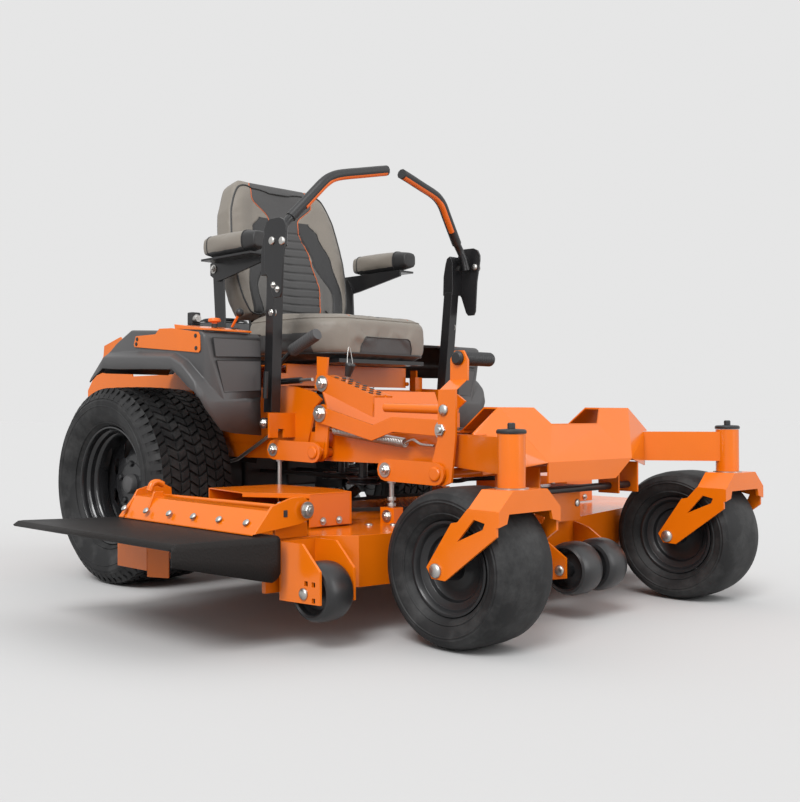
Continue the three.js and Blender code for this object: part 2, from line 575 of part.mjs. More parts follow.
function rearCrank() {
  const arm = crankArm(REAR_PIVOT);
  const upright = plateX(roundBar(REAR_PIVOT, crankTop(REAR_PIVOT), 24), -320, -314);
  return join(arm, mirrored(arm), crossShaft(REAR_PIVOT), upright);
}

const linkBar = () => plateX([
  [-603, 466], [-610, 488], [-651, 492], [-811, 452], [-875, 472], [-1020, 465], [-1045, 455],
  [-1047, 436], [-1033, 427], [-877, 436], [-807, 414], [-656, 448], [-615, 456],
], -LINK.outer, -LINK.inner);

const liftRod = () => rod([-309, -836, 494], [-309, -1034, 488], 11, 14);

function heightSelector() {
  const side = plateX([[-606, 545], [-612, 578], [-655, 577], [-815, 523], [-813, 471], [-632, 537]], -330, -324);
  const roof = sheet([[-330, -655, 577], [-300, -655, 577], [-330, -815, 523], [-262, -815, 523]], [0, 1, -5]);
  const upright = plateX([[-606, 560], [-640, 560], [-646, 622], [-606, 626]], -322, -316);
  const spacer = box(-330, -293, -632, -610, 546, 562);
  const arm = box(-293.5, -262, -632, -578, 546, 562);
  const holes = Array.from({ length: 5 }, (_, i) => {
    const y = -690 - 28 * i;
    const z = 577 + (y + 655) * 54 / 160;
    return [rod([-308, y, z - 12], [-308, y, z + 12], 5, 8), rod([-285, y - 10, z - 16], [-285, y - 10, z + 8], 5, 8)];
  }).flat();
  return join(cut(join(side, roof), ...holes), upright, spacer, arm);
}

const heightPin = () => {
  const section = [[0, 8], [8, 8], [10, 34], [13, 38], [13, 42], [0, 42]].map(([r, z]) => new THREE.Vector2(r, z));
  return new THREE.LatheGeometry(section, 14).rotateX(Math.PI / 2).rotateX(0.32).translate(-294, -688, 566);
};

// ---------------------------------------------------------------- operator controls
const ptoKnob = () => join(cylZ(7, -452, -345, 714, 726, 12), cylZ(17, -452, -345, 724, 735, 20));
const throttleLever = () => join(rod([-415, -372, 711], [-415, -402, 742], 4, 8),
  new THREE.IcosahedronGeometry(11, 1).translate(-415, -406, 748));
const parkBrakeLever = () => join(cylX(12, -283, -264, -386, 603, 16),
  rod([-273, -386, 603], [-273, -450, 648], 7, 10), rod([-273, -446, 646], [-273, -556, 690], 12, 14));
const fuelCap = () => join(cylZ(34, 440, -200, 707, 716, 24), cylZ(38, 440, -200, 714, 736, 24));

// ---------------------------------------------------------------- scene graph
add('main_frame', 'orange', mainFrame());
add('nose_panel', 'orange', nosePanel());
add('floor_pan', 'orange', floorPan());
add('engine_guard', 'orange', engineGuard());
pair('fender', 'graphite', fenderLeft);
add('control_panel', 'orange', controlPanel());
add('engine_block', 'steel', engineBlock());
add('engine_shroud', 'black', engineShroud());
pair('transaxle', 'black', transaxleLeft);
pair('drive_rim', 'rim', driveRim);
pair('drive_tyre', 'rubber', driveTyre);
pair('caster_fork', 'orange', casterFork);
pair('caster_rim', 'rim', casterRim);
pair('caster_tyre', 'rubber', casterTyre);
add('seat_pan', 'orange', seatPan());
add('seat_base', 'black', seatBase());
add('seat_cushion', 'vinyl', seatCushion());
add('seat_back', 'vinyl', seatBack());
pair('armrest_bracket', 'black', armrestBracket);
pair('armrest_pad', 'vinyl', armrestPad);
pair('lever_hub', 'black', leverHub);
pair('lever_bar', 'black', leverBar);
pair('lever_grip', 'black', leverGrip);
add('deck_shell', 'orange', deckShell());
add('roller_yoke', 'orange', rollerYoke());
pair('roller_bracket', 'orange', rollerBracket);
pair('side_roller', 'rubber', sideRoller);
add('front_roller', 'rubber', frontRoller());
add('belt_cover_right', 'orange', beltCoverRight());
add('belt_cover_left', 'orange', mirrored(beltCoverRight()));
add('blade_center', 'metal', blade(SPINDLES.center));
add('blade_right', 'metal', blade(SPINDLES.right));
add('blade_left', 'metal', blade(SPINDLES.left));
add('deck_belt', 'rubber', deckBelt());
add('chute_hinge_plate', 'orange', chuteHingePlate());
add('chute_deflector', 'rubber', chuteDeflector());
add('front_crank', 'orange', frontCrank());
add('rear_crank', 'orange', rearCrank());
add('link_bar', 'orange', linkBar());
add('lift_rod', 'orange', liftRod());
add('height_selector', 'orange', heightSelector());
add('height_pin', 'black', heightPin());
add('pto_knob', 'orange', ptoKnob());
add('throttle_lever', 'black', throttleLever());
add('park_brake_lever', 'black', parkBrakeLever());
add('fuel_cap', 'black', fuelCap());

export default mower;
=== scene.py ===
"""Looks of a zero-turn mower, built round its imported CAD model. Metres, +Z up, the front towards -Y."""
import json
import math

import bmesh
import bpy
from mathutils import Matrix, Vector
from mathutils.bvhtree import BVHTree


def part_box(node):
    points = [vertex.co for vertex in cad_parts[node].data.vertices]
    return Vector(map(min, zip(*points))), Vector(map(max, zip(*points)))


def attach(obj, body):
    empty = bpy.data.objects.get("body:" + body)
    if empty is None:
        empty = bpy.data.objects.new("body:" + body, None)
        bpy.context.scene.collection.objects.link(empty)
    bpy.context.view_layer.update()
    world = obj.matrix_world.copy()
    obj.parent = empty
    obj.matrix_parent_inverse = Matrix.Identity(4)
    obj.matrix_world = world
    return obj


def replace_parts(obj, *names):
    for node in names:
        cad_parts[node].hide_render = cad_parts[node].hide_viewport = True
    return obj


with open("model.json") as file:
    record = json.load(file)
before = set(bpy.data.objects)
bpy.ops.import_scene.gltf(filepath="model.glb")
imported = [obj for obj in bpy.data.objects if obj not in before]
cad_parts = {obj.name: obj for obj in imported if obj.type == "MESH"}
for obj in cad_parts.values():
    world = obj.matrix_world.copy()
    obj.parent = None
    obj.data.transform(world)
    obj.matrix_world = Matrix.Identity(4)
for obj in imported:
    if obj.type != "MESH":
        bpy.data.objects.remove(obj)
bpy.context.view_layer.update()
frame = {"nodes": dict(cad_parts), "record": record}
NODES = frame["nodes"]
BOTH = (("left", 1), ("right", -1))
CREASE = math.radians(32)

# The machine's datum is the ground point under the middle of the rear axle.
AXLE_LOW, AXLE_HIGH = (Vector(corner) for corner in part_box("drive_tyre_left"))
OTHER_LOW, _ = (Vector(corner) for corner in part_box("drive_tyre_right"))
DATUM = Vector(((AXLE_HIGH.x + OTHER_LOW.x) / 2, (AXLE_LOW.y + AXLE_HIGH.y) / 2, 0))
X, Y, Z = Vector((1, 0, 0)), Vector((0, 1, 0)), Vector((0, 0, 1))


def mm(x, y, z):
    """A point given in millimetres from the machine's datum."""
    return DATUM + Vector((x, y, z)) / 1000


def centre(node):
    low, high = (Vector(corner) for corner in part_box(node))
    return (low + high) / 2


# ---------------------------------------------------------------- materials
def shader(name, color, roughness, metallic=0.0, **sockets):
    """A Principled material with a small mottled change of colour and roughness, ready for a bump."""
    material = bpy.data.materials.new(name)
    material.use_nodes = True
    nodes, links = material.node_tree.nodes, material.node_tree.links
    principled = nodes["Principled BSDF"]
    principled.inputs["Metallic"].default_value = metallic
    for socket, value in sockets.items():
        principled.inputs[socket.replace("_", " ")].default_value = value
    place = nodes.new("ShaderNodeTexCoord")
    material["place"] = place.name
    mottle = nodes.new("ShaderNodeTexNoise")
    mottle.inputs["Scale"].default_value = 9
    mottle.inputs["Detail"].default_value = 5
    links.new(place.outputs["Object"], mottle.inputs["Vector"])
    tint = nodes.new("ShaderNodeMix")
    tint.data_type = "RGBA"
    dark = [channel * 0.86 for channel in color]
    tint.inputs["A"].default_value = (*dark, 1)
    tint.inputs["B"].default_value = (*color, 1)
    links.new(mottle.outputs["Fac"], tint.inputs["Factor"])
    links.new(tint.outputs["Result"], principled.inputs["Base Color"])
    rough = nodes.new("ShaderNodeMapRange")
    rough.inputs["To Min"].default_value = max(0.03, roughness - 0.06)
    rough.inputs["To Max"].default_value = min(1.0, roughness + 0.08)
    links.new(mottle.outputs["Fac"], rough.inputs["Value"])
    links.new(rough.outputs["Result"], principled.inputs["Roughness"])
    return material


def add_bump(material, kind, scale, distance, strength=1.0, **inputs):
    """Stacks one procedural texture as a bump on top of whatever bump the material already has."""
    nodes, links = material.node_tree.nodes, material.node_tree.links
    principled = nodes["Principled BSDF"]
    texture = nodes.new(kind)
    texture.inputs["Scale"].default_value = scale
    for socket, value in inputs.items():
        texture.inputs[socket].default_value = value
    links.new(nodes[material["place"]].outputs["Object"], texture.inputs["Vector"])
    bump = nodes.new("ShaderNodeBump")
    bump.inputs["Strength"].default_value = strength
    bump.inputs["Distance"].default_value = distance
    source = texture.outputs["Fac"] if "Fac" in texture.outputs else texture.outputs["Distance"]
    links.new(source, bump.inputs["Height"])
    if principled.inputs["Normal"].is_linked:
        links.new(principled.inputs["Normal"].links[0].from_socket, bump.inputs["Normal"])
    links.new(bump.outputs["Normal"], principled.inputs["Normal"])
    return material


def powder_coat(name, color, roughness=0.32):
    coat = shader(name, color, roughness, Coat_Weight=0.2, Coat_Roughness=0.1, Specular_IOR_Level=0.36)
    return add_bump(coat, "ShaderNodeTexNoise", 420, 0.00025, 0.35, Detail=2)


def moulded(name, color, roughness=0.5):
    return add_bump(shader(name, color, roughness), "ShaderNodeTexVoronoi", 900, 0.0002, 0.35)


def rubber(name, color=(0.0105, 0.0105, 0.011), roughness=0.6, gleam=0.3):
    skin = shader(name, color, roughness, Specular_IOR_Level=gleam)
    add_bump(skin, "ShaderNodeTexNoise", 60, 0.0008, 0.4, Detail=6)
    return add_bump(skin, "ShaderNodeTexNoise", 700, 0.0003, 0.4)


def scuffed(material, dark, pale, scale):
    """Blends patches of a paler dust over a dark rubber."""
    nodes, links = material.node_tree.nodes, material.node_tree.links
    surface = nodes["Principled BSDF"]
    patches = nodes.new("ShaderNodeTexNoise")
    patches.inputs["Scale"].default_value = scale
    patches.inputs["Detail"].default_value = 9
    patches.inputs["Roughness"].default_value = 0.68
    links.new(nodes[material["place"]].outputs["Object"], patches.inputs["Vector"])
    ramp = nodes.new("ShaderNodeValToRGB")
    low, high = ramp.color_ramp.elements
    low.position, high.position = 0.46, 0.7
    low.color, high.color = (*dark, 1), (*pale, 1)
    links.new(patches.outputs["Fac"], ramp.inputs["Fac"])
    links.new(ramp.outputs["Color"], surface.inputs["Base Color"])
    return material


def vinyl(name, color, roughness=0.5):
    skin = shader(name, color, roughness, Sheen_Weight=0.08)
    add_bump(skin, "ShaderNodeTexVoronoi", 420, 0.0004, 0.45)
    return add_bump(skin, "ShaderNodeTexNoise", 22, 0.002, 0.3, Detail=4)


def plated(name, color=(0.5, 0.49, 0.47), roughness=0.36):
    return add_bump(shader(name, color, roughness, 1.0), "ShaderNodeTexNoise", 300, 0.0002, 0.3)


ORANGE = powder_coat("orange_coat", (0.64, 0.132, 0.0015), 0.22)
ORANGE_TRIM = moulded("orange_trim", (0.72, 0.13, 0.004), 0.45)
BLACK = powder_coat("black_coat", (0.009, 0.009, 0.01), 0.34)
WHEEL = powder_coat("wheel_paint", (0.014, 0.014, 0.015), 0.2)
GRAPHITE = moulded("graphite_plastic", (0.056, 0.055, 0.056), 0.46)
DARK_PLASTIC = moulded("dark_plastic", (0.012, 0.012, 0.013), 0.46)
TYRE = scuffed(rubber("tyre_rubber"), (0.0085, 0.0085, 0.009), (0.032, 0.032, 0.032), 14)
CASTER_PAINT = powder_coat("caster_paint", (0.010, 0.010, 0.011), 0.46)
ROLLER = moulded("roller_plastic", (0.014, 0.014, 0.015), 0.34)
DEFLECTOR = rubber("deflector_rubber", (0.0125, 0.0108, 0.0102), 0.5, 0.14)
add_bump(DEFLECTOR, "ShaderNodeTexVoronoi", 260, 0.0008, 0.8)
TAUPE = vinyl("taupe_vinyl", (0.172, 0.152, 0.127))
GREY_VINYL = vinyl("grey_vinyl", (0.04, 0.039, 0.039), 0.55)
BLACK_VINYL = vinyl("black_vinyl", (0.01, 0.01, 0.0105), 0.5)
MID_VINYL = vinyl("mid_vinyl", (0.085, 0.08, 0.074), 0.55)
PIPING = vinyl("black_piping", (0.01, 0.01, 0.01), 0.45)
STITCH = vinyl("orange_stitch", (0.55, 0.11, 0.02), 0.6)
ZINC = plated("zinc_plate")
STEEL = plated("blade_steel", (0.35, 0.35, 0.36), 0.38)
CAST = shader("cast_alloy", (0.3, 0.3, 0.31), 0.5, 0.85)
add_bump(CAST, "ShaderNodeTexNoise", 160, 0.001, 0.6, Detail=6)
BELT = rubber("belt_rubber", (0.012, 0.012, 0.012), 0.7)

SLOT_LOOK = {
    "orange_coat": ORANGE, "dark_plastic": GRAPHITE, "black_coat": BLACK, "tread_rubber": TYRE,
    "wheel_paint": WHEEL, "seat_vinyl": TAUPE, "black_plastic": DARK_PLASTIC, "blade_steel": STEEL,
    "cast_metal": CAST, "deflector_rubber": DEFLECTOR, "belt_rubber": BELT, "roller_plastic": ROLLER,
}
LOOK_SLOT = {look.name: slot for slot, look in SLOT_LOOK.items()}
LOOK_SLOT.update({
    ORANGE_TRIM.name: "orange_coat", GREY_VINYL.name: "seat_vinyl", BLACK_VINYL.name: "seat_vinyl",
    MID_VINYL.name: "seat_vinyl", PIPING.name: "seat_vinyl", STITCH.name: "seat_vinyl",
    ZINC.name: "blade_steel", CASTER_PAINT.name: "wheel_paint",
})


# ---------------------------------------------------------------- CAD nodes: soft edges and finish
def edge_softener():
    """Merges the imported facets and shades smooth every edge that is nearly flat."""
    group = bpy.data.node_groups.new("soften", "GeometryNodeTree")
    group.interface.new_socket("Geometry", in_out="INPUT", socket_type="NodeSocketGeometry")
    group.interface.new_socket("Geometry", in_out="OUTPUT", socket_type="NodeSocketGeometry")
    nodes, links = group.nodes, group.links
    start, end = nodes.new("NodeGroupInput"), nodes.new("NodeGroupOutput")
    plain = nodes.new("GeometryNodeRemoveAttribute")
    plain.inputs["Name"].default_value = "custom_normal"
    merge = nodes.new("GeometryNodeMergeByDistance")
    merge.inputs["Distance"].default_value = 0.00002
    faces = nodes.new("GeometryNodeSetShadeSmooth")
    edges = nodes.new("GeometryNodeSetShadeSmooth")
    edges.domain = "EDGE"
    angle = nodes.new("GeometryNodeInputMeshEdgeAngle")
    flat = nodes.new("FunctionNodeCompare")
    flat.operation = "LESS_THAN"
    flat.inputs["B"].default_value = CREASE
    links.new(start.outputs[0], plain.inputs["Geometry"])
    links.new(plain.outputs["Geometry"], merge.inputs["Geometry"])
    links.new(merge.outputs["Geometry"], faces.inputs["Geometry"])
    links.new(faces.outputs["Geometry"], edges.inputs["Geometry"])
    links.new(angle.outputs["Unsigned Angle"], flat.inputs["A"])
    links.new(flat.outputs["Result"], edges.inputs["Shade Smooth"])
    links.new(edges.outputs["Geometry"], end.inputs[0])
    return group


SOFTEN = edge_softener()


def soften(obj, width=0.0012, segments=2):
    obj.modifiers.new("soften", "NODES").node_group = SOFTEN
    if width:
        bevel = obj.modifiers.new("round_edges", "BEVEL")
        bevel.width = width
        bevel.segments = segments
        bevel.limit_method = "ANGLE"
        bevel.angle_limit = CREASE
        bevel.harden_normals = True
        bevel.use_clamp_overlap = True


def dress_cad_nodes():
    slot_of = {row["node"]: row["material_slot"] for row in frame["record"]["subparts"]}
    width = {"fender_left": 0.005, "fender_right": 0.005, "chute_deflector": 0.003, "floor_pan": 0.001}
    for name, obj in NODES.items():
        obj.data.materials.clear()
        obj.data.materials.append(SLOT_LOOK[slot_of[name]])
        soften(obj, width.get(name, 0.0012), 3 if name in width else 2)


# ---------------------------------------------------------------- piece helpers
def finish_piece(name, mesh, look, body, smooth=True, bevel=0.0):
    obj = bpy.data.objects.new(name, mesh)
    bpy.context.scene.collection.objects.link(obj)
    mesh.materials.append(look)
    if smooth:
        mesh.shade_smooth()
        mesh.set_sharp_from_angle(angle=CREASE)
    if bevel:
        rounding = obj.modifiers.new("round_edges", "BEVEL")
        rounding.width = bevel
        rounding.segments = 2
        rounding.limit_method = "ANGLE"
        rounding.angle_limit = CREASE
        rounding.harden_normals = True
    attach(obj, body)
    return obj


def to_mesh(name, bm):
    bmesh.ops.recalc_face_normals(bm, faces=bm.faces)
    mesh = bpy.data.meshes.new(name)
    bm.to_mesh(mesh)
    bm.free()
    return mesh


def from_bmesh(name, bm, look, body, bevel=0.0):
    return finish_piece(name, to_mesh(name, bm), look, body, bevel=bevel)


def basis(axis):
    """Two directions square to an axis, and the axis."""
    axis = Vector(axis).normalized()
    side = Z if abs(axis.z) < 0.9 else Y
    across = side.cross(axis).normalized()
    return across, axis.cross(across), axis


def spin(bm, profile, origin, axis, segments=24, turn=0.0, closed=False):
    """Turns (radius, height) pairs in metres about an axis. A radius of 0 closes on the axis."""
    across, up, along = basis(axis)
    rings = []
    for radius, height in profile:
        middle = origin + along * height
        if radius < 1e-7:
            rings.append([bm.verts.new(middle)])
            continue
        angles = (turn + 2 * math.pi * i / segments for i in range(segments))
        spokes = (across * math.cos(a) + up * math.sin(a) for a in angles)
        rings.append([bm.verts.new(middle + spoke * radius) for spoke in spokes])
    pairs = list(zip(rings, rings[1:]))
    if closed:
        pairs.append((rings[-1], rings[0]))
    for low, high in pairs:
        for i in range(segments):
            j = (i + 1) % segments
            corners = [low[i % len(low)], low[j % len(low)], high[j % len(high)], high[i % len(high)]]
            bm.faces.new(list(dict.fromkeys(corners)))


def turned(name, profile, origin, axis, look, body, segments=24, bevel=0.0):
    """One piece turned from (radius, height) pairs in metres."""
    bm = bmesh.new()
    spin(bm, profile, origin, axis, segments)
    return from_bmesh(name, bm, look, body, bevel)


def scaled(pairs, sign=1):
    """(radius, height) pairs from millimetres to metres, with the height turned over for a sign of -1."""
    return [(r / 1000, sign * h / 1000) for r, h in pairs]


def prism(bm, outline, origin, across, up, depth):
    """An outline of (a, b) pairs in millimetres along two directions, thickened along their cross product."""
    across, up = Vector(across), Vector(up)
    out = across.cross(up).normalized()
    front, back = ([bm.verts.new(origin + (across * a + up * b) / 1000 + out * shift)
                    for a, b in outline] for shift in (depth / 1000, 0))
    bm.faces.new(front)
    bm.faces.new(back[::-1])
    for i in range(len(outline)):
        j = (i + 1) % len(outline)
        bm.faces.new((front[j], front[i], back[i], back[j]))


def block(bm, low, high):
    """A box between two points in millimetres."""
    (x0, y0, z0), (x1, y1, z1) = low, high
    prism(bm, [(x0, y0), (x1, y0), (x1, y1), (x0, y1)], DATUM + Vector((0, 0, z0)) / 1000, X, Y, z1 - z0)


def blocks(name, boxes, look, body, bevel=0.0015):
    bm = bmesh.new()
    for low, high in boxes:
        block(bm, low, high)
    return from_bmesh(name, bm, look, body, bevel)


def wire(name, points, radius, look, body, smooth=True, cyclic=False):
    """A round bar, hose or seam along points in metres."""
    curve = bpy.data.curves.new(name, "CURVE")
    curve.dimensions = "3D"
    curve.bevel_depth = radius
    curve.bevel_resolution = 3
    curve.use_fill_caps = True
    spline = curve.splines.new("POLY")
    spline.points.add(len(points) - 1)
    for target, point in zip(spline.points, points):
        target.co = (*point, 1)
    spline.use_cyclic_u = cyclic
    spline.use_smooth = smooth
    obj = bpy.data.objects.new(name, curve)
    bpy.context.scene.collection.objects.link(obj)
    curve.materials.append(look)
    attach(obj, body)
    return obj


def curved(points, steps=8):
    """Catmull-Rom points through a short list."""
    ends = [points[0] * 2 - points[1], *points, points[-1] * 2 - points[-2]]
    out = []
    for a, b, c, d in zip(ends, ends[1:], ends[2:], ends[3:]):
        for i in range(steps):
            t = i / steps
            out.append(0.5 * (2 * b + (c - a) * t + (2 * a - 5 * b + 4 * c - d) * t * t
                              + (3 * b - a - 3 * c + d) * t ** 3))
    return out + [points[-1]]


def coil(start, end, radius, turns, steps=14):
    """A helix between two points."""
    across, up, _ = basis(end - start)
    count = turns * steps
    return [start.lerp(end, i / count) + (across * math.cos(2 * math.pi * i / steps)
            + up * math.sin(2 * math.pi * i / steps)) * radius for i in range(count + 1)]


class Fasteners:
    """Collects bolt heads per body, and makes one piece of them for each body."""

    def __init__(self):
        self.groups = {}

    def hex(self, body, x, y, z, axis, size=9):
        s = size / 1000
        washer = [(0, 0), (1.45 * s, 0), (1.45 * s, 0.22 * s), (0, 0.22 * s)]
        head = [(0, 0.22 * s), (1.0 * s, 0.22 * s), (1.0 * s, 0.75 * s), (0.86 * s, 0.88 * s), (0, 0.88 * s)]
        shank = [(0, 0.88 * s), (0.5 * s, 0.88 * s), (0.5 * s, 1.1 * s), (0.42 * s, 1.18 * s), (0, 1.18 * s)]
        self._add(body, mm(x, y, z), axis, ((washer, 20), (head, 6), (shank, 12)))

    def dome(self, body, x, y, z, axis, size=11):
        s = size / 1000
        angles = [t * math.pi / 12 for t in range(6)]
        arc = [(s * math.cos(a), 0.15 * s + 0.45 * s * math.sin(a)) for a in angles]
        self._add(body, mm(x, y, z), axis, (([(0, 0), (s, 0), *arc, (0, 0.6 * s)], 20),))

    def _add(self, body, origin, axis, turned):
        bm = self.groups.setdefault(body, bmesh.new())
        for profile, segments in turned:
            spin(bm, profile, origin, Vector(axis), segments)

    def build(self):
        for body, bm in self.groups.items():
            from_bmesh(f"bolts_{body}", bm, ZINC, body)


bolts = Fasteners()


# ---------------------------------------------------------------- wheels
def drive_tyre(side):
    """A turf tyre: a carcass whose tread is rows of slanted blocks between zigzag grooves."""
    hub = centre(f"drive_tyre_{side}")
    carcass = [(168.5, -106), (186, -124), (214, -137), (238, -138), (258, -126), (268, -104), (271, -60),
               (271, 60), (268, 104), (258, 126), (238, 138), (214, 137), (186, 124), (168.5, 106)]
    bm = bmesh.new()
    spin(bm, scaled(carcass), hub, X, 96, closed=True)
    for ring, reach in ((178, 118), (224, 137.6), (246, 134)):
        bead = [(ring - 2, reach), (ring, reach + 1.6), (ring + 2, reach)]
        for face in (1, -1):
            spin(bm, scaled(bead, face), hub, X, 96, closed=True)
    count, rows, width = 60, 8, 29
    pitch = 2 * math.pi / count
    for k in range(count):
        for row in range(rows):
            t0 = (row - rows / 2) * width + 1.6
            lean = 1 if row % 2 else -1
            start = k * pitch + (row // 2 % 2) * pitch / 2
            tread_block(bm, hub, start, start + pitch * 0.8, t0, t0 + width - 3.2, lean * pitch * 0.5)
        for face in (1, -1):
            shoulder_block(bm, hub, k * pitch + (0 if face > 0 else pitch / 2), pitch * 0.62, face)
    tyre = from_bmesh(f"turf_tyre_{side}", bm, TYRE, f"drive_wheel_{side}")
    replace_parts(tyre, f"drive_tyre_{side}")


def on_tyre(hub, radius, angle, across):
    return hub + Vector((across, radius * math.cos(angle), radius * math.sin(angle))) / 1000


def hexahedron(bm, low, high):
    """Joins two loops of four points."""
    a, b = [bm.verts.new(p) for p in low], [bm.verts.new(p) for p in high]
    bm.faces.new(a[::-1])
    bm.faces.new(b)
    for i in range(4):
        bm.faces.new((a[i], a[(i + 1) % 4], b[(i + 1) % 4], b[i]))


def tread_block(bm, hub, start, end, t0, t1, slant):
    """A slanted block whose top is a little smaller than its foot and follows the tyre's crown."""
    crown = 278.6 - 0.00038 * ((t0 + t1) / 2) ** 2
    corners = [(start, t0), (end, t0), (end + slant, t1), (start + slant, t1)]
    taper = [(1, 1), (-1, 1), (-1, -1), (1, -1)]
    low = [on_tyre(hub, 266, angle, t) for angle, t in corners]
    high = [on_tyre(hub, crown, angle + 0.004 * da, t + 1.2 * dt)
            for (angle, t), (da, dt) in zip(corners, taper)]
    hexahedron(bm, low, high)


def shoulder_block(bm, hub, start, length, face):
    """A block that wraps from the tread's edge down the wall."""
    def loop(angle, lift):
        return [on_tyre(hub, r, angle, face * t) for r, t in
                ((266, 110), (240, 132), (240 + lift, 132 + lift * 0.9), (270 + lift, 114))]
    hexahedron(bm, loop(start, 4.5), loop(start + length, 4.5))


def drive_rim(side, sign):
    """A deep black wheel with a windowed disc, a hub cap and five nuts."""
    hub = centre(f"drive_rim_{side}")
    body = f"drive_wheel_{side}"
    bm = bmesh.new()
    barrel = [(167.5, 107), (165, 109), (161, 108), (158, 103), (157, 92), (152, 88), (149, 84), (148, 72),
              (142, 68), (139, 62), (139, 34), (144, 26), (150, 20), (150, -30), (156, -96), (164, -107.5),
              (167.5, -106), (160, -92), (154, -30), (154, 12), (146, 34), (146, 60), (154, 76), (162, 96)]
    spin(bm, scaled(barrel, sign), hub, X, 72, closed=True)
    wheel_disc(bm, hub, sign)
    rim = from_bmesh(f"wheel_{side}", bm, WHEEL, body, 0.0008)
    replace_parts(rim, f"drive_rim_{side}")
    dome = [(0, 58), (14, 57), (24, 53), (28, 46), (29, 30), (36, 28), (38, 20), (0, 20)]
    turned(f"hub_cap_{side}", scaled(dome, sign), hub, X, GRAPHITE, body, 32)
    nuts = bmesh.new()
    for k in range(5):
        angle = 2 * math.pi * k / 5 + 0.3
        spot = hub + Vector((sign * 26, 58 * math.cos(angle), 58 * math.sin(angle))) / 1000
        spin(nuts, [(0, 0), (0.0105, 0), (0.0105, 0.012), (0.007, 0.017), (0, 0.018)], spot, X * sign, 6)
    from_bmesh(f"wheel_nuts_{side}", nuts, BLACK, body)


def wheel_disc(bm, hub, sign):
    """Spokes between eight windows, as bent strips from the hub to the barrel."""
    windows, steps, reach = 8, 6, 152

    def arc(radius, offset, span, k):
        middle = 2 * math.pi * k / windows
        angles = [middle + span * (2 * i / steps - 1) for i in range(steps + 1)]
        return [on_tyre(hub, radius, angle, sign * offset) for angle in angles]

    half = math.pi / windows
    profile = [(0.40, 24, half), (0.52, 24, half), (0.58, 22, half * 0.55), (0.78, 6, half * 0.42),
               (0.86, 4, half * 0.55), (0.92, 4, half), (0.99, 4, half)]
    for k in range(windows):
        front, back = ([arc(reach * r, offset + shift, span, k) for r, offset, span in profile]
                       for shift in (12.5, 7.5))
        skin(bm, front, back)
    plate = [(0, 31.5), (64, 31.5), (64, 36.5), (0, 36.5)]
    spin(bm, scaled(plate, sign), hub, X, 48)


def skin(bm, front, back):
    """Closes a patch between a front and a back grid of points."""
    f = [[bm.verts.new(p) for p in row] for row in front]
    b = [[bm.verts.new(p) for p in row] for row in back]
    rows, cols = len(f), len(f[0])
    for i in range(rows - 1):
        for j in range(cols - 1):
            bm.faces.new((f[i][j], f[i + 1][j], f[i + 1][j + 1], f[i][j + 1]))
            bm.faces.new((b[i][j], b[i][j + 1], b[i + 1][j + 1], b[i + 1][j]))
    for i in range(rows - 1):
        bm.faces.new((f[i][0], b[i][0], b[i + 1][0], f[i + 1][0]))
        bm.faces.new((f[i][-1], f[i + 1][-1], b[i + 1][-1], b[i][-1]))
    for j in range(cols - 1):
        bm.faces.new((f[0][j], f[0][j + 1], b[0][j + 1], b[0][j]))
        bm.faces.new((f[-1][j], b[-1][j], b[-1][j + 1], f[-1][j + 1]))


def mirrored(half):
    """A section given up to its middle point, carried on to the other side."""
    return half + [(r, -t) for r, t in half[-2::-1]]


def caster_wheel(side):
    """A smooth tyre with two beads on each wall, on a dished rim."""
    hub = centre(f"caster_tyre_{side}")
    body = f"caster_wheel_{side}"
    tread = [(98.5, -60), (106, -70), (124, -80), (142, -84.5), (154, -78), (162, -62), (164.6, -36),
             (165, 0)]
    bm = bmesh.new()
    spin(bm, scaled(mirrored(tread)), hub, X, 80, closed=True)
    for face in (1, -1):
        for ring, reach in ((112, 74.2), (136, 83.8)):
            bead = [(ring - 2.4, reach), (ring, reach + 1.8), (ring + 2.4, reach)]
            spin(bm, scaled(bead, face), hub, X, 80, closed=True)
    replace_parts(from_bmesh(f"smooth_tyre_{side}", bm, TYRE, body), f"caster_tyre_{side}")
    inner = [(12, -91), (21, -91), (23, -70), (24, -38), (40, -34), (58, -34), (66, -38), (70, -46),
             (78, -50), (84, -52), (88, -60), (92, -64), (97.5, -64), (97.5, -58), (92, -46), (80, -40),
             (74, -20)]
    outer = [(74, 20), (80, 40), (92, 46), (97.5, 58), (97.5, 64), (92, 64), (88, 60), (84, 52), (78, 50),
             (70, 46), (66, 38), (58, 34), (40, 34), (24, 38), (23, 70), (21, 91), (12, 91)]
    rim = bmesh.new()
    spin(rim, scaled(inner + outer), hub, X, 64, closed=True)
    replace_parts(from_bmesh(f"caster_wheel_{side}", rim, CASTER_PAINT, body, 0.0008), f"caster_rim_{side}")


CASTER_X, CASTER_Y = 446, -1314


def caster_details(side, sign):
    """The pivot's cap, nut and washer, and the axle's bolt heads."""
    x, y = sign * CASTER_X, CASTER_Y
    cap = bmesh.new()
    spin(cap, [(0, 0.001), (0.029, 0.001), (0.030, 0.003), (0.030, 0.007), (0.027, 0.010), (0.010, 0.011),
               (0, 0.011)], mm(x, y, 438), Z, 32)
    spin(cap, [(0, 0), (0.008, 0), (0.008, 0.010), (0.006, 0.012), (0, 0.012)], mm(x, y, 449), Z, 6)
    from_bmesh(f"pivot_cap_{side}", cap, DARK_PLASTIC, f"caster_fork_{side}", 0.0006)
    collar = bmesh.new()
    washer = [(0.0145, 0), (0.034, 0), (0.034, 0.0015), (0.0145, 0.0015)]
    spin(collar, washer, mm(x, y, 330.2), Z, 32, closed=True)
    from_bmesh(f"pivot_washer_{side}", collar, ZINC, f"caster_fork_{side}")
    for face in (1, -1):
        bolts.dome(f"caster_fork_{side}", x + face * 100.2, -1202, 165, (face, 0, 0), 15)


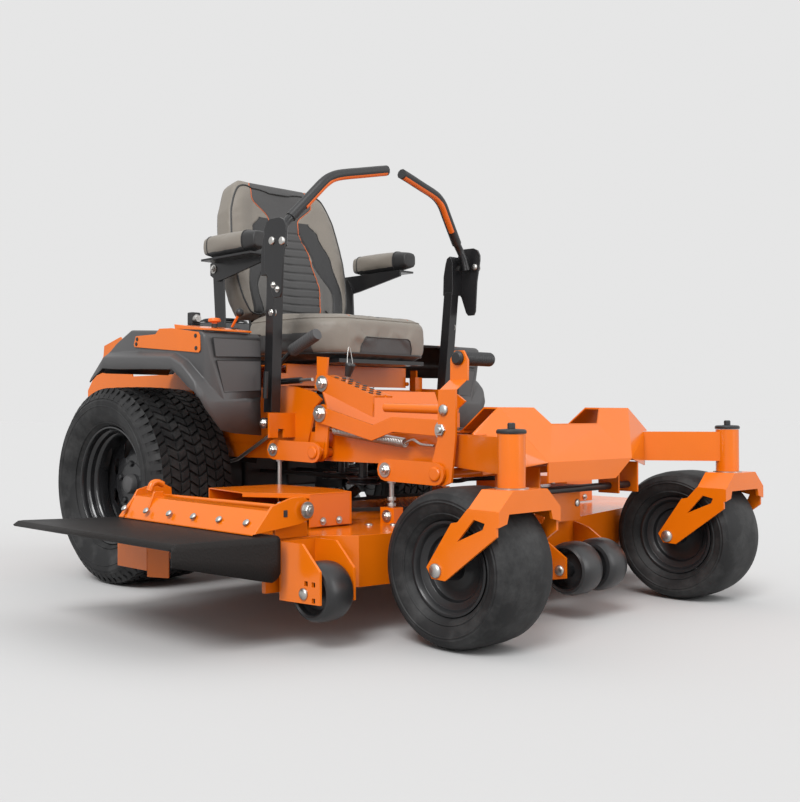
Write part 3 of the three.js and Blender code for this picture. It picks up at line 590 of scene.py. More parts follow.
def roller(name, section):
    """An anti-scalp roller, whose body has its node's name."""
    bm = bmesh.new()
    spin(bm, scaled(section), centre(name), X, 56, closed=True)
    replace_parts(from_bmesh(f"anti_scalp_{name}", bm, ROLLER, name), name)


def deck_rollers():
    half = [(9.2, -34), (18, -34), (19, -20), (36, -16), (44, -22), (46, -33), (50, -36), (55, -34),
            (59, -27), (61.2, -16), (61.9, 0)]
    for side, sign in BOTH:
        roller(f"side_roller_{side}", mirrored(half))
        for spot, face in ((740.5, 1), (639.5, -1)):
            bolts.dome("deck", sign * spot, -1024, 119, (sign * face, 0, 0), 12)
    twin = [(9.2, -90), (18, -90), (19, -74), (36, -70), (44, -76), (46, -88), (50, -91), (55, -88),
            (59, -80), (61.6, -66), (61.6, -36), (59, -22), (54, -15), (46, -13), (40, -24), (22, -22),
            (20, -6)]
    roller("front_roller", twin + [(r, -t) for r, t in twin[::-1]])
    for face in (1, -1):
        bolts.dome("deck", face * 106.5, -1190, 121, (face, 0, 0), 12)


# ---------------------------------------------------------------- seat
BACK_FOOT, BACK_LEAN = mm(0, -95, 745), math.radians(13)
BACK_UP = Vector((0, math.sin(BACK_LEAN), math.cos(BACK_LEAN)))
BACK_OUT = Vector((0, -math.cos(BACK_LEAN), math.sin(BACK_LEAN)))
BACK_DEEP = 0.100


def smooth_step(low, high, value):
    t = min(1, max(0, (value - low) / (high - low)))
    return t * t * (3 - 2 * t)


def along(pairs, value):
    """Reads a value off a list of (station, value) pairs, eased between them."""
    for (a, va), (b, vb) in zip(pairs, pairs[1:]):
        if value <= b:
            return va + (vb - va) * smooth_step(a, b, value)
    return pairs[-1][1]


def loft(name, rings):
    """Closes a stack of rings with a point at each end."""
    bm = bmesh.new()
    loops = [[bm.verts.new(p) for p in ring] for ring in rings]
    for low, high in zip(loops, loops[1:]):
        for i in range(len(low)):
            j = (i + 1) % len(low)
            bm.faces.new((low[i], low[j], high[j], high[i]))
    for loop, flip in ((loops[0], True), (loops[-1], False)):
        middle = bm.verts.new(sum((v.co for v in loop), Vector()) / len(loop))
        for i in range(len(loop)):
            j = (i + 1) % len(loop)
            corners = (loop[i], loop[j], middle)
            bm.faces.new(corners[::-1] if flip else corners)
    return to_mesh(name, bm)


def puffed(name, mesh, voxel=0.006, pressure=4.0, cap=0.009):
    """Remeshes a pad evenly, blows it up as cloth a little, and returns the settled mesh."""
    obj = bpy.data.objects.new(name, mesh)
    bpy.context.scene.collection.objects.link(obj)
    bpy.context.view_layer.objects.active = obj
    remesh = obj.modifiers.new("remesh", "REMESH")
    remesh.mode = "VOXEL"
    remesh.voxel_size = voxel
    bpy.ops.object.modifier_apply(modifier="remesh")
    before = [v.co.copy() for v in obj.data.vertices]
    cloth = obj.modifiers.new("cloth", "CLOTH")
    cloth.settings.use_pressure = True
    cloth.settings.uniform_pressure_force = pressure
    cloth.settings.tension_stiffness = 25
    cloth.settings.effector_weights.gravity = 0
    cloth.point_cache.frame_end = 20
    for step in range(1, 21):
        bpy.context.scene.frame_set(step)
    bpy.context.view_layer.update()
    settled = obj.evaluated_get(bpy.context.evaluated_depsgraph_get()).data
    moved = [v.co.copy() for v in settled.vertices]
    obj.modifiers.remove(cloth)
    bpy.context.scene.frame_set(1)
    for vertex, old, new in zip(obj.data.vertices, before, moved):
        shift = new - old
        if shift.length > cap:
            shift *= cap / shift.length
        vertex.co = old + shift
    smooth = obj.modifiers.new("smooth", "SMOOTH")
    smooth.factor, smooth.iterations = 0.5, 4
    bpy.ops.object.modifier_apply(modifier="smooth")
    fine = obj.modifiers.new("fine", "SUBSURF")
    fine.levels = fine.render_levels = 1
    bpy.ops.object.modifier_apply(modifier="fine")
    return obj


def upholster(obj, body, node, looks, panel_of):
    """Gives every face the panel it belongs to, and fastens the pad to its body."""
    mesh = obj.data
    mesh.materials.clear()
    for look in looks:
        mesh.materials.append(look)
    for face in mesh.polygons:
        face.material_index = looks.index(panel_of(face.center, face.normal))
        face.use_smooth = True
    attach(obj, body)
    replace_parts(obj, node)


def surface_run(obj, points, ray, lift=0.0008):
    """Drops points onto a pad along a ray direction."""
    graph = bpy.context.evaluated_depsgraph_get()
    tree = BVHTree.FromObject(obj, graph)
    out = []
    for point in points:
        hit, normal, _, _ = tree.ray_cast(point - ray * 0.3, ray, 0.6)
        if hit is not None:
            out.append(hit + normal * lift)
    return out


# Half widths of the backrest and of its panels, as (height up the back, half width) in metres.
BACK_HALF = [(0, 0.200), (0.06, 0.226), (0.13, 0.239), (0.20, 0.241), (0.27, 0.236), (0.33, 0.224),
             (0.39, 0.204), (0.43, 0.182), (0.458, 0.150)]
CENTRE_HALF = [(0, 0.088), (0.05, 0.098), (0.11, 0.106), (0.2, 0.088), (0.3, 0.058), (0.325, 0.060),
               (0.385, 0.122), (0.42, 0.118), (0.47, 0.098)]
BAND_IN = [(0, 0.138), (0.09, 0.152), (0.2, 0.096), (0.3, 0.056)]
BAND_OUT = [(0, 0.176), (0.09, 0.186), (0.2, 0.166), (0.29, 0.132), (0.325, 0.1)]


def back_local(point):
    """(across, up the back, out of the back) of a point, in metres."""
    offset = point - BACK_FOOT
    return offset.x, offset.dot(BACK_UP), offset.dot(BACK_OUT)


def back_point(across, up, out):
    return BACK_FOOT + X * across + BACK_UP * up + BACK_OUT * out


def rounded(value, power):
    """A sine or cosine raised towards plus or minus one: the smaller the power, the squarer the outline."""
    return math.copysign(abs(value) ** power, value)


def outline_run(pad, middle, rays, reach, lift):
    """Where rays that come in towards a middle point meet a pad."""
    tree = BVHTree.FromObject(pad, bpy.context.evaluated_depsgraph_get())
    run = []
    for ray in rays:
        hit, normal, *_ = tree.ray_cast(middle + ray * reach, -ray, reach)
        if hit is not None:
            run.append(hit + normal * lift)
    return run


def back_ring(up, half):
    """One level of the backrest: flat behind, bolsters standing out either side of the middle."""
    ring = []
    for i in range(56):
        angle = 2 * math.pi * i / 56
        c, s = math.cos(angle), math.sin(angle)
        across = (half - 0.006) * rounded(c, 0.24)
        depth = BACK_DEEP / 2 + (BACK_DEEP / 2 - 0.005) * rounded(s, 0.3)
        if s > 0:
            dip = 0.022 * (1 - smooth_step(0.35, 0.85, abs(across) / half))
            depth -= dip * (1 - smooth_step(0.36, 0.45, up)) + 0.02 * smooth_step(0.38, 0.46, up) * s
        ring.append(back_point(across, up, depth))
    return ring


def seat_back():
    stations = [0.010, 0.03, 0.06, 0.1, 0.15, 0.2, 0.25, 0.3, 0.34, 0.38, 0.41, 0.43, 0.445]
    mesh = loft("backrest", [back_ring(up, along(BACK_HALF, up)) for up in stations])
    pad = puffed("backrest", mesh, cap=0.004)
    for vertex in pad.data.vertices:
        across, up, out = back_local(vertex.co)
        if out < 0.045:
            continue
        sink = 0.0
        if abs(across) < along(CENTRE_HALF, up) and 0.02 < up < 0.3:
            sink += 0.0035 * math.exp(-(((up + 0.012) % 0.026 - 0.013) / 0.0022) ** 2)
        for edge, top in ((CENTRE_HALF, 0.47), (BAND_IN, 0.3), (BAND_OUT, 0.325)):
            if up < top:
                sink += 0.003 * math.exp(-((abs(across) - along(edge, up)) / 0.003) ** 2)
        vertex.co -= BACK_OUT * sink

    def panel(point, normal):
        across, up, out = back_local(point)
        across = abs(across)
        facing = normal.dot(BACK_OUT)
        if out < 0.03 and facing < -0.3:
            return BLACK_VINYL
        if out < 0.055 or facing < 0.3:
            return TAUPE
        if across < along(CENTRE_HALF, up):
            return GREY_VINYL
        if up < 0.325 and along(BAND_IN, up) < across < along(BAND_OUT, up):
            return BLACK_VINYL
        if up < 0.2 and across < along(BAND_IN, up):
            return MID_VINYL
        return TAUPE

    upholster(pad, "seat", "seat_back", [TAUPE, GREY_VINYL, BLACK_VINYL, MID_VINYL], panel)
    into = -BACK_OUT
    for label, sign in BOTH:
        seams = (("centre", CENTRE_HALF, 0.008, 0.452, STITCH, 0.0013),
                 ("band_inner", BAND_IN, 0.012, 0.29, PIPING, 0.0012),
                 ("band_outer", BAND_OUT, 0.012, 0.322, PIPING, 0.0012))
        for seam, edge, low, high, look, radius in seams:
            levels = [low + (high - low) * i / 60 for i in range(61)]
            path = [back_point(sign * along(edge, up), up, 0.2) for up in levels]
            wire(f"back_{seam}_{label}", surface_run(pad, path, into), radius, look, "seat")
    angles = [math.radians(-62) + math.radians(304) * i / 139 for i in range(140)]
    rays = [(X * math.cos(a) + BACK_UP * math.sin(a)).normalized() for a in angles]
    edge_run = outline_run(pad, back_point(0, 0.22, 0.084), rays, 0.5, 0.001)
    wire("back_piping", edge_run, 0.0026, PIPING, "seat")


CUSHION_LOW = 0.636


def cushion_half(y):
    """Half the cushion's width at a distance from the axle, in metres."""
    return along([(-0.556, 0.156), (-0.53, 0.192), (-0.48, 0.230), (-0.43, 0.247), (-0.3, 0.248),
                  (-0.21, 0.242)], y)


def seat_cushion():
    rings = []
    for i in range(15):
        t = i / 14
        y = -0.549 + 0.336 * t
        half = cushion_half(y) - 0.006
        top = 0.747 + 0.014 * smooth_step(0, 0.9, t) - 0.010 * (1 - smooth_step(0, 0.10, t))
        ring = []
        for k in range(40):
            angle = 2 * math.pi * k / 40
            c, s = math.cos(angle), math.sin(angle)
            across = half * rounded(c, 0.27)
            middle, tall = (CUSHION_LOW + top) / 2, (top - CUSHION_LOW) / 2
            height = middle + tall * rounded(s, 0.32)
            if s > 0:
                height -= 0.012 * (1 - smooth_step(0.3, 0.8, abs(across) / half)) * smooth_step(0.15, 0.5, t)
            ring.append(DATUM + Vector((across, y, height)))
        rings.append(ring)
    pad = puffed("cushion", loft("cushion", rings), cap=0.008)
    for vertex in pad.data.vertices:
        x, y, z = vertex.co - DATUM
        sink = Vector()
        if z > 0.70 and abs(x) < 0.115 and -0.5 < y < -0.24:
            sink.z = 0.0035 * math.exp(-((y % 0.03 - 0.015) / 0.0025) ** 2)
        if z > 0.70 and y > -0.52:
            sink.z += 0.003 * math.exp(-((abs(x) - 0.118) / 0.003) ** 2)
        vertex.co -= sink

    def panel(point, normal):
        x, y, z = point - DATUM
        if z < 0.642 and normal.z < -0.5:
            return BLACK_VINYL
        if y < -0.52 and normal.y < -0.6 and abs(x) < 0.100 - 0.5 * max(0, z - 0.664) and z < 0.691:
            return GREY_VINYL
        if abs(x) > 0.2 and abs(normal.x) > 0.6 and -0.47 < y < -0.25 and z < 0.70:
            return GREY_VINYL
        if normal.z > 0.6 and abs(x) < 0.118 and -0.505 < y < -0.225:
            return GREY_VINYL
        return TAUPE

    upholster(pad, "seat", "seat_cushion", [TAUPE, GREY_VINYL, BLACK_VINYL], panel)

    def around(z, name, look, radius, start=0, sweep=360):
        angles = [math.radians(start + sweep * i / 180) for i in range(181)]
        rays = [X * math.cos(a) + Y * math.sin(a) for a in angles]
        run = outline_run(pad, DATUM + Vector((0, -0.38, z)), rays, 0.5, 0.0008)
        wire(name, run, radius, look, "seat")

    around(0.742, "cushion_upper_piping", TAUPE, 0.0018)
    around(0.645, "cushion_lower_piping", PIPING, 0.0028)
    front = [(-0.101, 0.642), (-0.100, 0.664), (-0.090, 0.686), (-0.082, 0.691), (0.082, 0.691),
             (0.090, 0.686), (0.100, 0.664), (0.101, 0.642)]
    path = [DATUM + Vector((x, -0.7, z)) for x, z in front]
    dense = [a.lerp(b, i / 12) for a, b in zip(path, path[1:]) for i in range(12)]
    wire("cushion_front_seam", surface_run(pad, dense, Y), 0.0013, PIPING, "seat")
    for label, sign in BOTH:
        path = [DATUM + Vector((sign * 0.118, -0.515 + 0.29 * i / 50, 1.0)) for i in range(51)]
        wire(f"cushion_top_seam_{label}", surface_run(pad, path, -Z), 0.0012, STITCH, "seat")


def armrest(side, sign):
    """A pad with piped ends and a dark nose, on its folded bracket."""
    low, high = (Vector(c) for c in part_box(f"armrest_pad_{side}"))
    middle = (low + high) / 2
    rings = []
    for i in range(13):
        t = i / 12
        y = low.y + 0.006 + (high.y - low.y - 0.012) * t
        swell = min(1, 0.72 + 1.6 * min(t, 1 - t)) ** 0.6
        top = 0.988 + 0.006 * t
        ring = []
        for k in range(28):
            angle = 2 * math.pi * k / 28
            c, s = math.cos(angle), math.sin(angle)
            across = 0.030 * swell * rounded(c, 0.6)
            height = (0.932 + top) / 2 + (top - 0.932) / 2 * swell * rounded(s, 0.6)
            ring.append(Vector((middle.x + across, y, height)))
        rings.append(ring)
    pad = puffed(f"armrest_cushion_{side}", loft(f"armrest_{side}", rings), 0.004, cap=0.003)
    nose_end = low.y + 0.055

    def panel(point, _):
        return BLACK_VINYL if point.y < nose_end or point.z < 0.942 else TAUPE

    upholster(pad, f"armrest_{side}", f"armrest_pad_{side}", [TAUPE, BLACK_VINYL], panel)
    angles = [2 * math.pi * i / 60 for i in range(60)]
    rays = [X * math.cos(a) + Z * math.sin(a) for a in angles]
    for label, y in (("front", nose_end), ("rear", high.y - 0.03)):
        run = outline_run(pad, Vector((middle.x, y, middle.z)), rays, 0.3, 0.0006)
        wire(f"armrest_piping_{label}_{side}", run, 0.0016, PIPING, f"armrest_{side}", cyclic=True)
    bolts.hex(f"armrest_{side}", sign * 274.5, -106, 905, (sign, 0, 0), 9)


# ---------------------------------------------------------------- levers
def lever(side, sign):
    """Rubber grip with an orange inlay, and the bolts of its adjusting bracket."""
    body = f"lever_{side}"
    path = [mm(sign * x, y, z) for x, y, z in
            ((368, -528, 915), (363, -523, 948), (352, -517, 974), (334, -519, 994), (300, -528, 1030),
             (262, -538, 1071), (240, -544, 1094), (216, -548, 1111), (184, -553, 1122), (120, -562, 1135),
             (60, -571, 1147), (30, -575, 1152.6))]
    run = curved(path, 6)
    stock = wire(f"lever_tube_{side}", run[:22], 0.0115, BLACK, body)
    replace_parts(stock, f"lever_grip_{side}")
    wire(f"lever_sleeve_{side}", run[18:], 0.0143, DARK_PLASTIC, body)
    inward = Vector((-sign * 0.55, -0.5, -0.67)).normalized()
    inlay = [p + inward * 0.0068 for p in run[24:-2]]
    wire(f"lever_inlay_{side}", inlay, 0.0098, ORANGE_TRIM, body)
    bm = bmesh.new()
    foot, head = Vector((343, -452, 484)), Vector((354, -480, 850))
    tall = (head - foot).length
    slope = (head - foot).normalized()
    tube = [foot + Vector((a, b, 0)) for a, b in ((-16, -16), (16, -16), (16, 16), (-16, 16))]
    tube = [[mm(sign * p.x, p.y, p.z) for p in (q, q + slope * tall)] for q in tube]
    hexahedron(bm, [pair[0] for pair in tube], [pair[1] for pair in tube])
    cheek = [(-468, 938), (-474, 955), (-486, 961), (-496, 940), (-496, 842), (-458, 842), (-460, 900)]
    prism(bm, cheek, mm(sign * 363 - 23, 0, 0), Y, Z, 46)
    plate = [(-480, 938), (-478, 960), (-487, 978), (-502, 985), (-540, 984), (-557, 976), (-565, 960),
             (-565, 944), (-553, 880), (-547, 790), (-541, 779), (-519, 779), (-511, 788), (-493, 836),
             (-480, 852), (-479, 900)]
    prism(bm, plate, mm(sign * 388 - 3, 0, 0), Y, Z, 6)
    stem = from_bmesh(f"lever_stem_{side}", bm, BLACK, body, 0.0012)
    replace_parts(stem, f"lever_bar_{side}")
    for y, z in ((-551, 922), (-511, 927)):
        bolts.dome(body, sign * 391, y, z, (sign, 0, 0), 11)
        bolts.dome(body, sign * 385, y + 4, z + 3, (-sign, 0, 0), 10)
    for y, z in ((-516, 812), (-532, 800)):
        bolts.hex(body, sign * 391, y, z, (sign, 0, 0), 6)
    # Painted shade: thin dark discs stand for the shadowed insides of the bar's adjusting holes.
    holes = bmesh.new()
    for k in range(5):
        spot = mm(sign * 359.2, -468 - 1.2 * k, 640 + 30 * k)
        spin(holes, [(0, 0), (0.006, 0), (0.006, 0.0008), (0, 0.0008)], spot, X * sign, 16)
    from_bmesh(f"lever_hole_shade_{side}", holes, DARK_PLASTIC, body)
    bolts.hex(body, sign * 359, -476, 745, (sign, 0, 0), 10)
    bolts.hex(f"lever_hub_{side}", sign * 372, -452, 455, (sign, 0, 0), 10)
    wire(f"lever_damper_{side}", [mm(sign * 384, -474, 520), mm(sign * 384, -478, 590)], 0.0065, BLACK, body)


# ---------------------------------------------------------------- bodywork
# Rows of points over the fender, from the rear of its arch to the foot of its front face. Each row runs
# from the inner edge out to the lip, as (|x|, y, z) in millimetres.
FENDER_SHEET = [
    ((318, 66, 598), (534, 66, 598), (548, 64, 600), (574, 76, 586), (579, 79, 571)),
    ((318, 0, 680), (536, 0, 680), (548, 28, 652), (574, 12, 640), (579, 10, 609)),
    ((318, -75, 712), (538, -75, 712), (548, -60, 653), (574, -64, 638), (579, -64, 604)),
    ((318, -230, 702), (541, -230, 702), (548, -190, 648), (574, -194, 633), (579, -200, 600)),
    ((318, -376, 693), (544, -376, 693), (548, -306, 640), (575, -316, 627), (579, -332, 595)),
    ((366, -388, 692), (546, -388, 692), (548, -362, 617), (576, -368, 606), (579, -374, 569)),
    ((366, -418, 689), (549, -418, 689), (546, -398, 589), (576, -404, 579), (579, -404, 548)),
    ((366, -430, 680), (548, -430, 680), (540, -416, 569), (573, -425, 559), (577, -426, 536)),
    ((366, -433, 624), (534, -433, 624), (524, -428, 544), (560, -438, 532), (566, -438, 516)),
]
FENDER_SKIRT = [
    ((500, -434, 524), (540, -440, 510), (553, -440, 494)),
    ((460, -434, 524), (466, -440, 513), (503, -440, 438)),
    ((415, -434, 524), (416, -440, 513), (467, -440, 430)),
    ((368, -434, 524), (368, -432, 513), (364, -432, 422)),
]


def fender(side, sign):
    """A moulded fender with a flared lip round its arch, raised panels in its front ringed by dark wires
    painted as the shade in the grooves of their panel lines, and a badge plate.
    """
    bm = bmesh.new()
    place = {}

    def at(point):
        if point not in place:
            place[point] = bm.verts.new(mm(sign * point[0], point[1], point[2]))
        return place[point]

    def strip(rows, first, last):
        for a, b in zip(rows, rows[1:]):
            for i in range(first, last):
                corners = [at(p) for p in (a[i], a[i + 1], b[i + 1], b[i])]
                bm.faces.new(list(dict.fromkeys(corners)))

    foot, corner = (366, -434, 524), FENDER_SKIRT[0][0]
    strip(FENDER_SHEET + [(foot, corner, corner, *FENDER_SKIRT[0][1:])], 0, 4)
    strip(FENDER_SKIRT, 0, 2)
    mesh = to_mesh(f"fender_{side}", bm)
    shell = finish_piece(f"fender_shell_{side}", mesh, GRAPHITE, "chassis", smooth=False)
    mesh.shade_smooth()
    rounding = shell.modifiers.new("round_edges", "BEVEL")
    rounding.width, rounding.segments = 0.0045, 3
    rounding.limit_method, rounding.angle_limit = "ANGLE", math.radians(12)
    rounding.harden_normals = True
    thicken = shell.modifiers.new("thicken", "SOLIDIFY")
    thicken.thickness, thicken.offset = 0.004, 0
    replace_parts(shell, f"fender_{side}")
    panels = [[(-527, 674), (-372, 674), (-372, 630), (-519, 626)],
              [(-516, 616), (-372, 619), (-372, 541), (-492, 535)]]
    for k, outline in enumerate(panels):
        face = bmesh.new()
        prism(face, [(sign * x, z) for x, z in outline], mm(0, -437.4, 0), X, Z, 2.2)
        from_bmesh(f"fender_panel_{k}_{side}", face, GRAPHITE, "chassis", 0.001)
        # The dark wire round each panel is painted shade for the groove of its panel line.
        line = [mm(sign * x, -438.8, z) for x, z in outline]
        wire(f"fender_groove_shade_{k}_{side}", line, 0.0015, DARK_PLASTIC, "chassis", smooth=False, cyclic=True)
    plate = [(-108, 671), (-118, 694), (-214, 694), (-232, 708), (-290, 706), (-408, 689), (-416, 680),
             (-416, 642), (-410, 636), (-112, 664)]
    badge = bmesh.new()
    prism(badge, plate, mm(sign * 549 - (0 if sign > 0 else 3), 0, 0), Y, Z, 3)
    from_bmesh(f"badge_plate_{side}", badge, ORANGE, "chassis", 0.0008)
    screws = bmesh.new()
    for y, z in ((-126, 685), (-122, 672), (-398, 680), (-400, 648)):
        spin(screws, [(0, 0), (0.0055, 0), (0.0052, 0.0016), (0.003, 0.0026), (0, 0.0026)],
             mm(sign * 552, y, z), X * sign, 16)
    from_bmesh(f"badge_screws_{side}", screws, DARK_PLASTIC, "chassis")


def console():
    """Key switch, blade knob and throttle on the right-hand fender, and the fuel cap on the left."""
    blocks("key_module", [((-470, -268, 712), (-430, -236, 722)), ((-466, -262, 722), (-436, -240, 756))],
           DARK_PLASTIC, "chassis", 0.003)
    key = [(0, 0), (0.012, 0), (0.012, 0.006), (0.009, 0.012), (0, 0.012)]
    turned("key_switch", key, mm(-452, -262, 738), -Y, ZINC, "chassis")
    stem = [(0, 0), (0.008, 0), (0.008, 0.01), (0, 0.01)]
    turned("pto_stem", stem, mm(-452, -345, 709), Z, DARK_PLASTIC, "pto", 20)
    mushroom = [(0, 0), (0.007, 0), (0.007, 0.008), (0.0165, 0.011), (0.017, 0.015), (0.015, 0.0195),
                (0.008, 0.0208), (0, 0.021)]
    knob = turned("pto_mushroom", mushroom, mm(-452, -345, 714), Z, ORANGE_TRIM, "pto", 32)
    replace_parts(knob, "pto_knob")
    size = 0.0112
    angles = [math.radians(-75 + 15 * i) for i in range(11)]
    ball = [(0, -size), *((size * math.cos(a), size * math.sin(a)) for a in angles), (0, size)]
    tip = turned("throttle_ball", ball, mm(-415, -406, 747.5), Z, DARK_PLASTIC, "throttle", 28)
    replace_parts(tip, "throttle_lever")
    wire("throttle_rod", [mm(-415, -374, 711), mm(-415, -402, 742)], 0.0036, ORANGE_TRIM, "throttle")
    # Painted shade: a thin dark plate stands for the shadowed opening of the throttle's slot.
    slot = [((-420, -400, 705.2), (-410, -340, 706.2))]
    blocks("throttle_slot_shade", slot, DARK_PLASTIC, "chassis", 0.0002)
    cap = bmesh.new()
    ribs = [(0, 0), (0.033, 0), (0.033, 0.007), (0.0375, 0.009), (0.0378, 0.024), (0.035, 0.0285), (0, 0.029)]
    spin(cap, ribs, mm(440, -200, 707), Z, 48)
    for k in range(24):
        angle = 2 * math.pi * k / 24
        spot = mm(440 + 37 * math.cos(angle), -200 + 37 * math.sin(angle), 717)
        spin(cap, [(0, 0), (0.0014, 0), (0.0014, 0.014), (0, 0.014)], spot, Z, 6)
    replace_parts(from_bmesh("ribbed_fuel_cap", cap, DARK_PLASTIC, "fuel_cap"), "fuel_cap")


def grips():
    """Ribbed rubber on the lift pedal and the parking brake."""
    ridged = [(0.0165 - 0.0012 * (i % 2), 0.004 + 0.0032 * i) for i in range(32)]
    turned("pedal_sleeve", [(0, 0), *ridged, (0, 0.106)], mm(-286, -1053, 605), X, DARK_PLASTIC,
           "front_crank", 28, 0.0003)
    knob = [(0, 0), (0.016, 0), (0.0165, 0.005), (0.012, 0.010), (0, 0.011)]
    turned("pedal_peg_end", knob, mm(-296.2, -1053, 605), -X, DARK_PLASTIC, "front_crank", 24, 0.0006)
    start, end = mm(-273, -450, 648), mm(-273, -556, 690)
    length = (end - start).length
    outline = [(0, 0), (0.013, 0.001), (0.0165, 0.006)]
    outline += [(0.0172 - 0.0012 * (i % 2), 0.008 + 0.0036 * i) for i in range(28)]
    outline += [(0.0155, length - 0.002), (0, length)]
    sleeve = turned("brake_grip", outline, start, end - start, GRAPHITE, "park_brake", 28, 0.0003)
    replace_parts(sleeve, "park_brake_lever")
    shaft = [mm(-273, -386, 603), mm(-273, -420, 627), mm(-273, -452, 649)]
    wire("brake_shaft", shaft, 0.0068, BLACK, "park_brake")
    boss = [(0, 0), (0.0118, 0), (0.0118, 0.018), (0, 0.018)]
    turned("brake_boss", boss, mm(-282, -386, 603), X, BLACK, "park_brake", 28, 0.0008)


def height_pin():
    """The cutting-height pin: black knob, shank and a wire loop."""
    axis = Vector((0, -0.31457, 0.94924))
    foot = mm(-294, -688, 566) + axis * 0.008
    outline = [(0, 0), (0.008, 0), (0.0085, 0.004), (0.0125, 0.024), (0.0135, 0.030), (0.012, 0.0335),
               (0, 0.034)]
    knob = turned("height_knob", outline, foot, axis, DARK_PLASTIC, "height_pin", 28, 0.0004)
    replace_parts(knob, "height_pin")
    wire("height_shank", [foot - axis * 0.03, foot], 0.004, ZINC, "height_pin")
    top = foot + axis * 0.030
    angles = [math.pi * i / 40 for i in range(41)]
    loop = [top + X * 0.010 * math.cos(a) + Y * 0.004 * math.sin(a) + Z * 0.045 * math.sin(a) ** 2
            for a in angles]
    wire("height_lanyard", loop, 0.0011, ZINC, "height_pin")


# ---------------------------------------------------------------- lift linkage
def linkage():
    """Pivot bolts, hanger rods, the assist spring and the black damper."""
    right = (-1, 0, 0)
    bolts.hex("link_bar", -328, -1033, 442, right, 15)
    bolts.hex("link_bar", -328, -624, 480, right, 15)
    bolts.dome("front_crank", -336, -1043, 487, right, 13)
    for side, sign in BOTH:
        out = (sign, 0, 0)
        for body, (y, z) in (("front_crank", (-870, 347)), ("rear_crank", (-461, 385))):
            bolts.hex(body, sign * 346, y, z, out, 12)
            hanger(f"hanger_{body}_{side}", sign, y, z)
        for body, (y, z) in (("front_crank", (-1025, 343)), ("rear_crank", (-616, 381))):
            boss = [(0, 0), (0.016, 0), (0.016, 0.003), (0.013, 0.005), (0, 0.005)]
            turned(f"shaft_end_{body}_{side}", boss, mm(sign * 346, y, z), X * sign, ORANGE, body, 28, 0.0006)
    spring = coil(mm(-309, -660, 437), mm(-309, -900, 410), 0.0105, 46, 12)
    wire("assist_spring", spring, 0.0017, ZINC, "chassis")
    hook = [mm(-309, -900, 410), mm(-309, -925, 418), mm(-309, -950, 408), mm(-309, -990, 405)]
    wire("spring_hook", curved(hook), 0.0032, ZINC, "chassis")
    anchor = [mm(-309, -660, 437), mm(-309, -640, 441), mm(-300, -628, 441)]
    wire("spring_tail", curved(anchor), 0.0028, ZINC, "chassis")
    wire("selector_damper", [mm(-296, -430, 566), mm(-296, -516, 568)], 0.0085, BLACK, "chassis")
    wire("damper_rod", [mm(-296, -516, 568), mm(-296, -560, 569)], 0.0045, ZINC, "chassis")
    bolts.hex("chassis", -330, -635, 556, right, 14)
    for y, z in ((-462, 429), (-462, 467)):
        bolts.hex("chassis", -296, y, z, right, 9)


def hanger(name, sign, y, z):
    """A threaded hanger rod with nuts, from a lift arm down to the deck's lug."""
    x = sign * 324
    low = 250
    wire(name, [mm(x, y, z), mm(x, y, low)], 0.006, ZINC, "deck")
    nuts = bmesh.new()
    for height in (low + 10, low + 24, z - 32):
        spin(nuts, [(0, 0), (0.0105, 0), (0.0105, 0.008), (0, 0.008)], mm(x, y, height), Z, 6)
    spin(nuts, [(0, 0), (0.013, 0), (0.013, 0.014), (0, 0.014)], mm(x - 7, y, z), X, 24)
    from_bmesh(f"{name}_nuts", nuts, ZINC, "deck", 0.0006)


# ---------------------------------------------------------------- deck
def belt_cover(side, sign):
    """A folded cover, open towards the side, with a turned-down lip over the opening."""
    bm = bmesh.new()
    plan = [(-640, -700), (-560, -842), (-433, -842), (-396, -760), (-396, -540), (-600, -520)]
    prism(bm, [(sign * -x, y) for x, y in plan], mm(0, 0, 296.5), X, Y, 3)
    front = [(sign * 560, 224), (sign * 433, 224), (sign * 433, 299), (sign * 560, 299)]
    prism(bm, front, mm(0, -838.5, 0), X, Z, 3)
    walls = (((433, -842), (396, -760)), ((396, -760), (396, -540)), ((396, -540), (600, -520)))
    for (x0, y0), (x1, y1) in walls:
        run = Vector((sign * (x1 - x0), y1 - y0, 0))
        prism(bm, [(0, 224), (run.length, 224), (run.length, 299), (0, 299)], mm(sign * x0, y0, 0),
              run.normalized(), Z, 3)
    lip = Vector((sign * 80, 142, 0))
    prism(bm, [(0, 289), (lip.length, 289), (lip.length, 299), (0, 299)], mm(sign * 560, -842, 0),
          lip.normalized(), Z, 3)
    cover = from_bmesh(f"open_belt_cover_{side}", bm, ORANGE, "deck", 0.001)
    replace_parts(cover, f"belt_cover_{side}")


def selector_hole_shade():
    """Three rows of thin dark discs on the sloping roof of the cutting-height selector, painted shade that
    stands for the dark insides of its pin holes.
    """
    bm = bmesh.new()
    slope = Vector((0, -0.32, 0.947))
    for k in range(6):
        y = -676 - 24 * k
        z = 577.6 + (y + 655) * 54 / 160
        for x, step in ((-318, 0), (-300, -8), (-282, -16)):
            if y + step < -806:
                continue
            spot = mm(x, y + step, z + step * 54 / 160)
            spin(bm, [(0, 0), (0.0062, 0), (0.0062, 0.0009), (0, 0.0009)], spot, slope, 12)
    # The discs are painted shade: dark marks where the pin holes lie in shadow, not holes cut in the roof.
    from_bmesh("selector_hole_shade", bm, DARK_PLASTIC, "chassis")


SPINDLES = ((0, -820), (-490, -610), (490, -610))


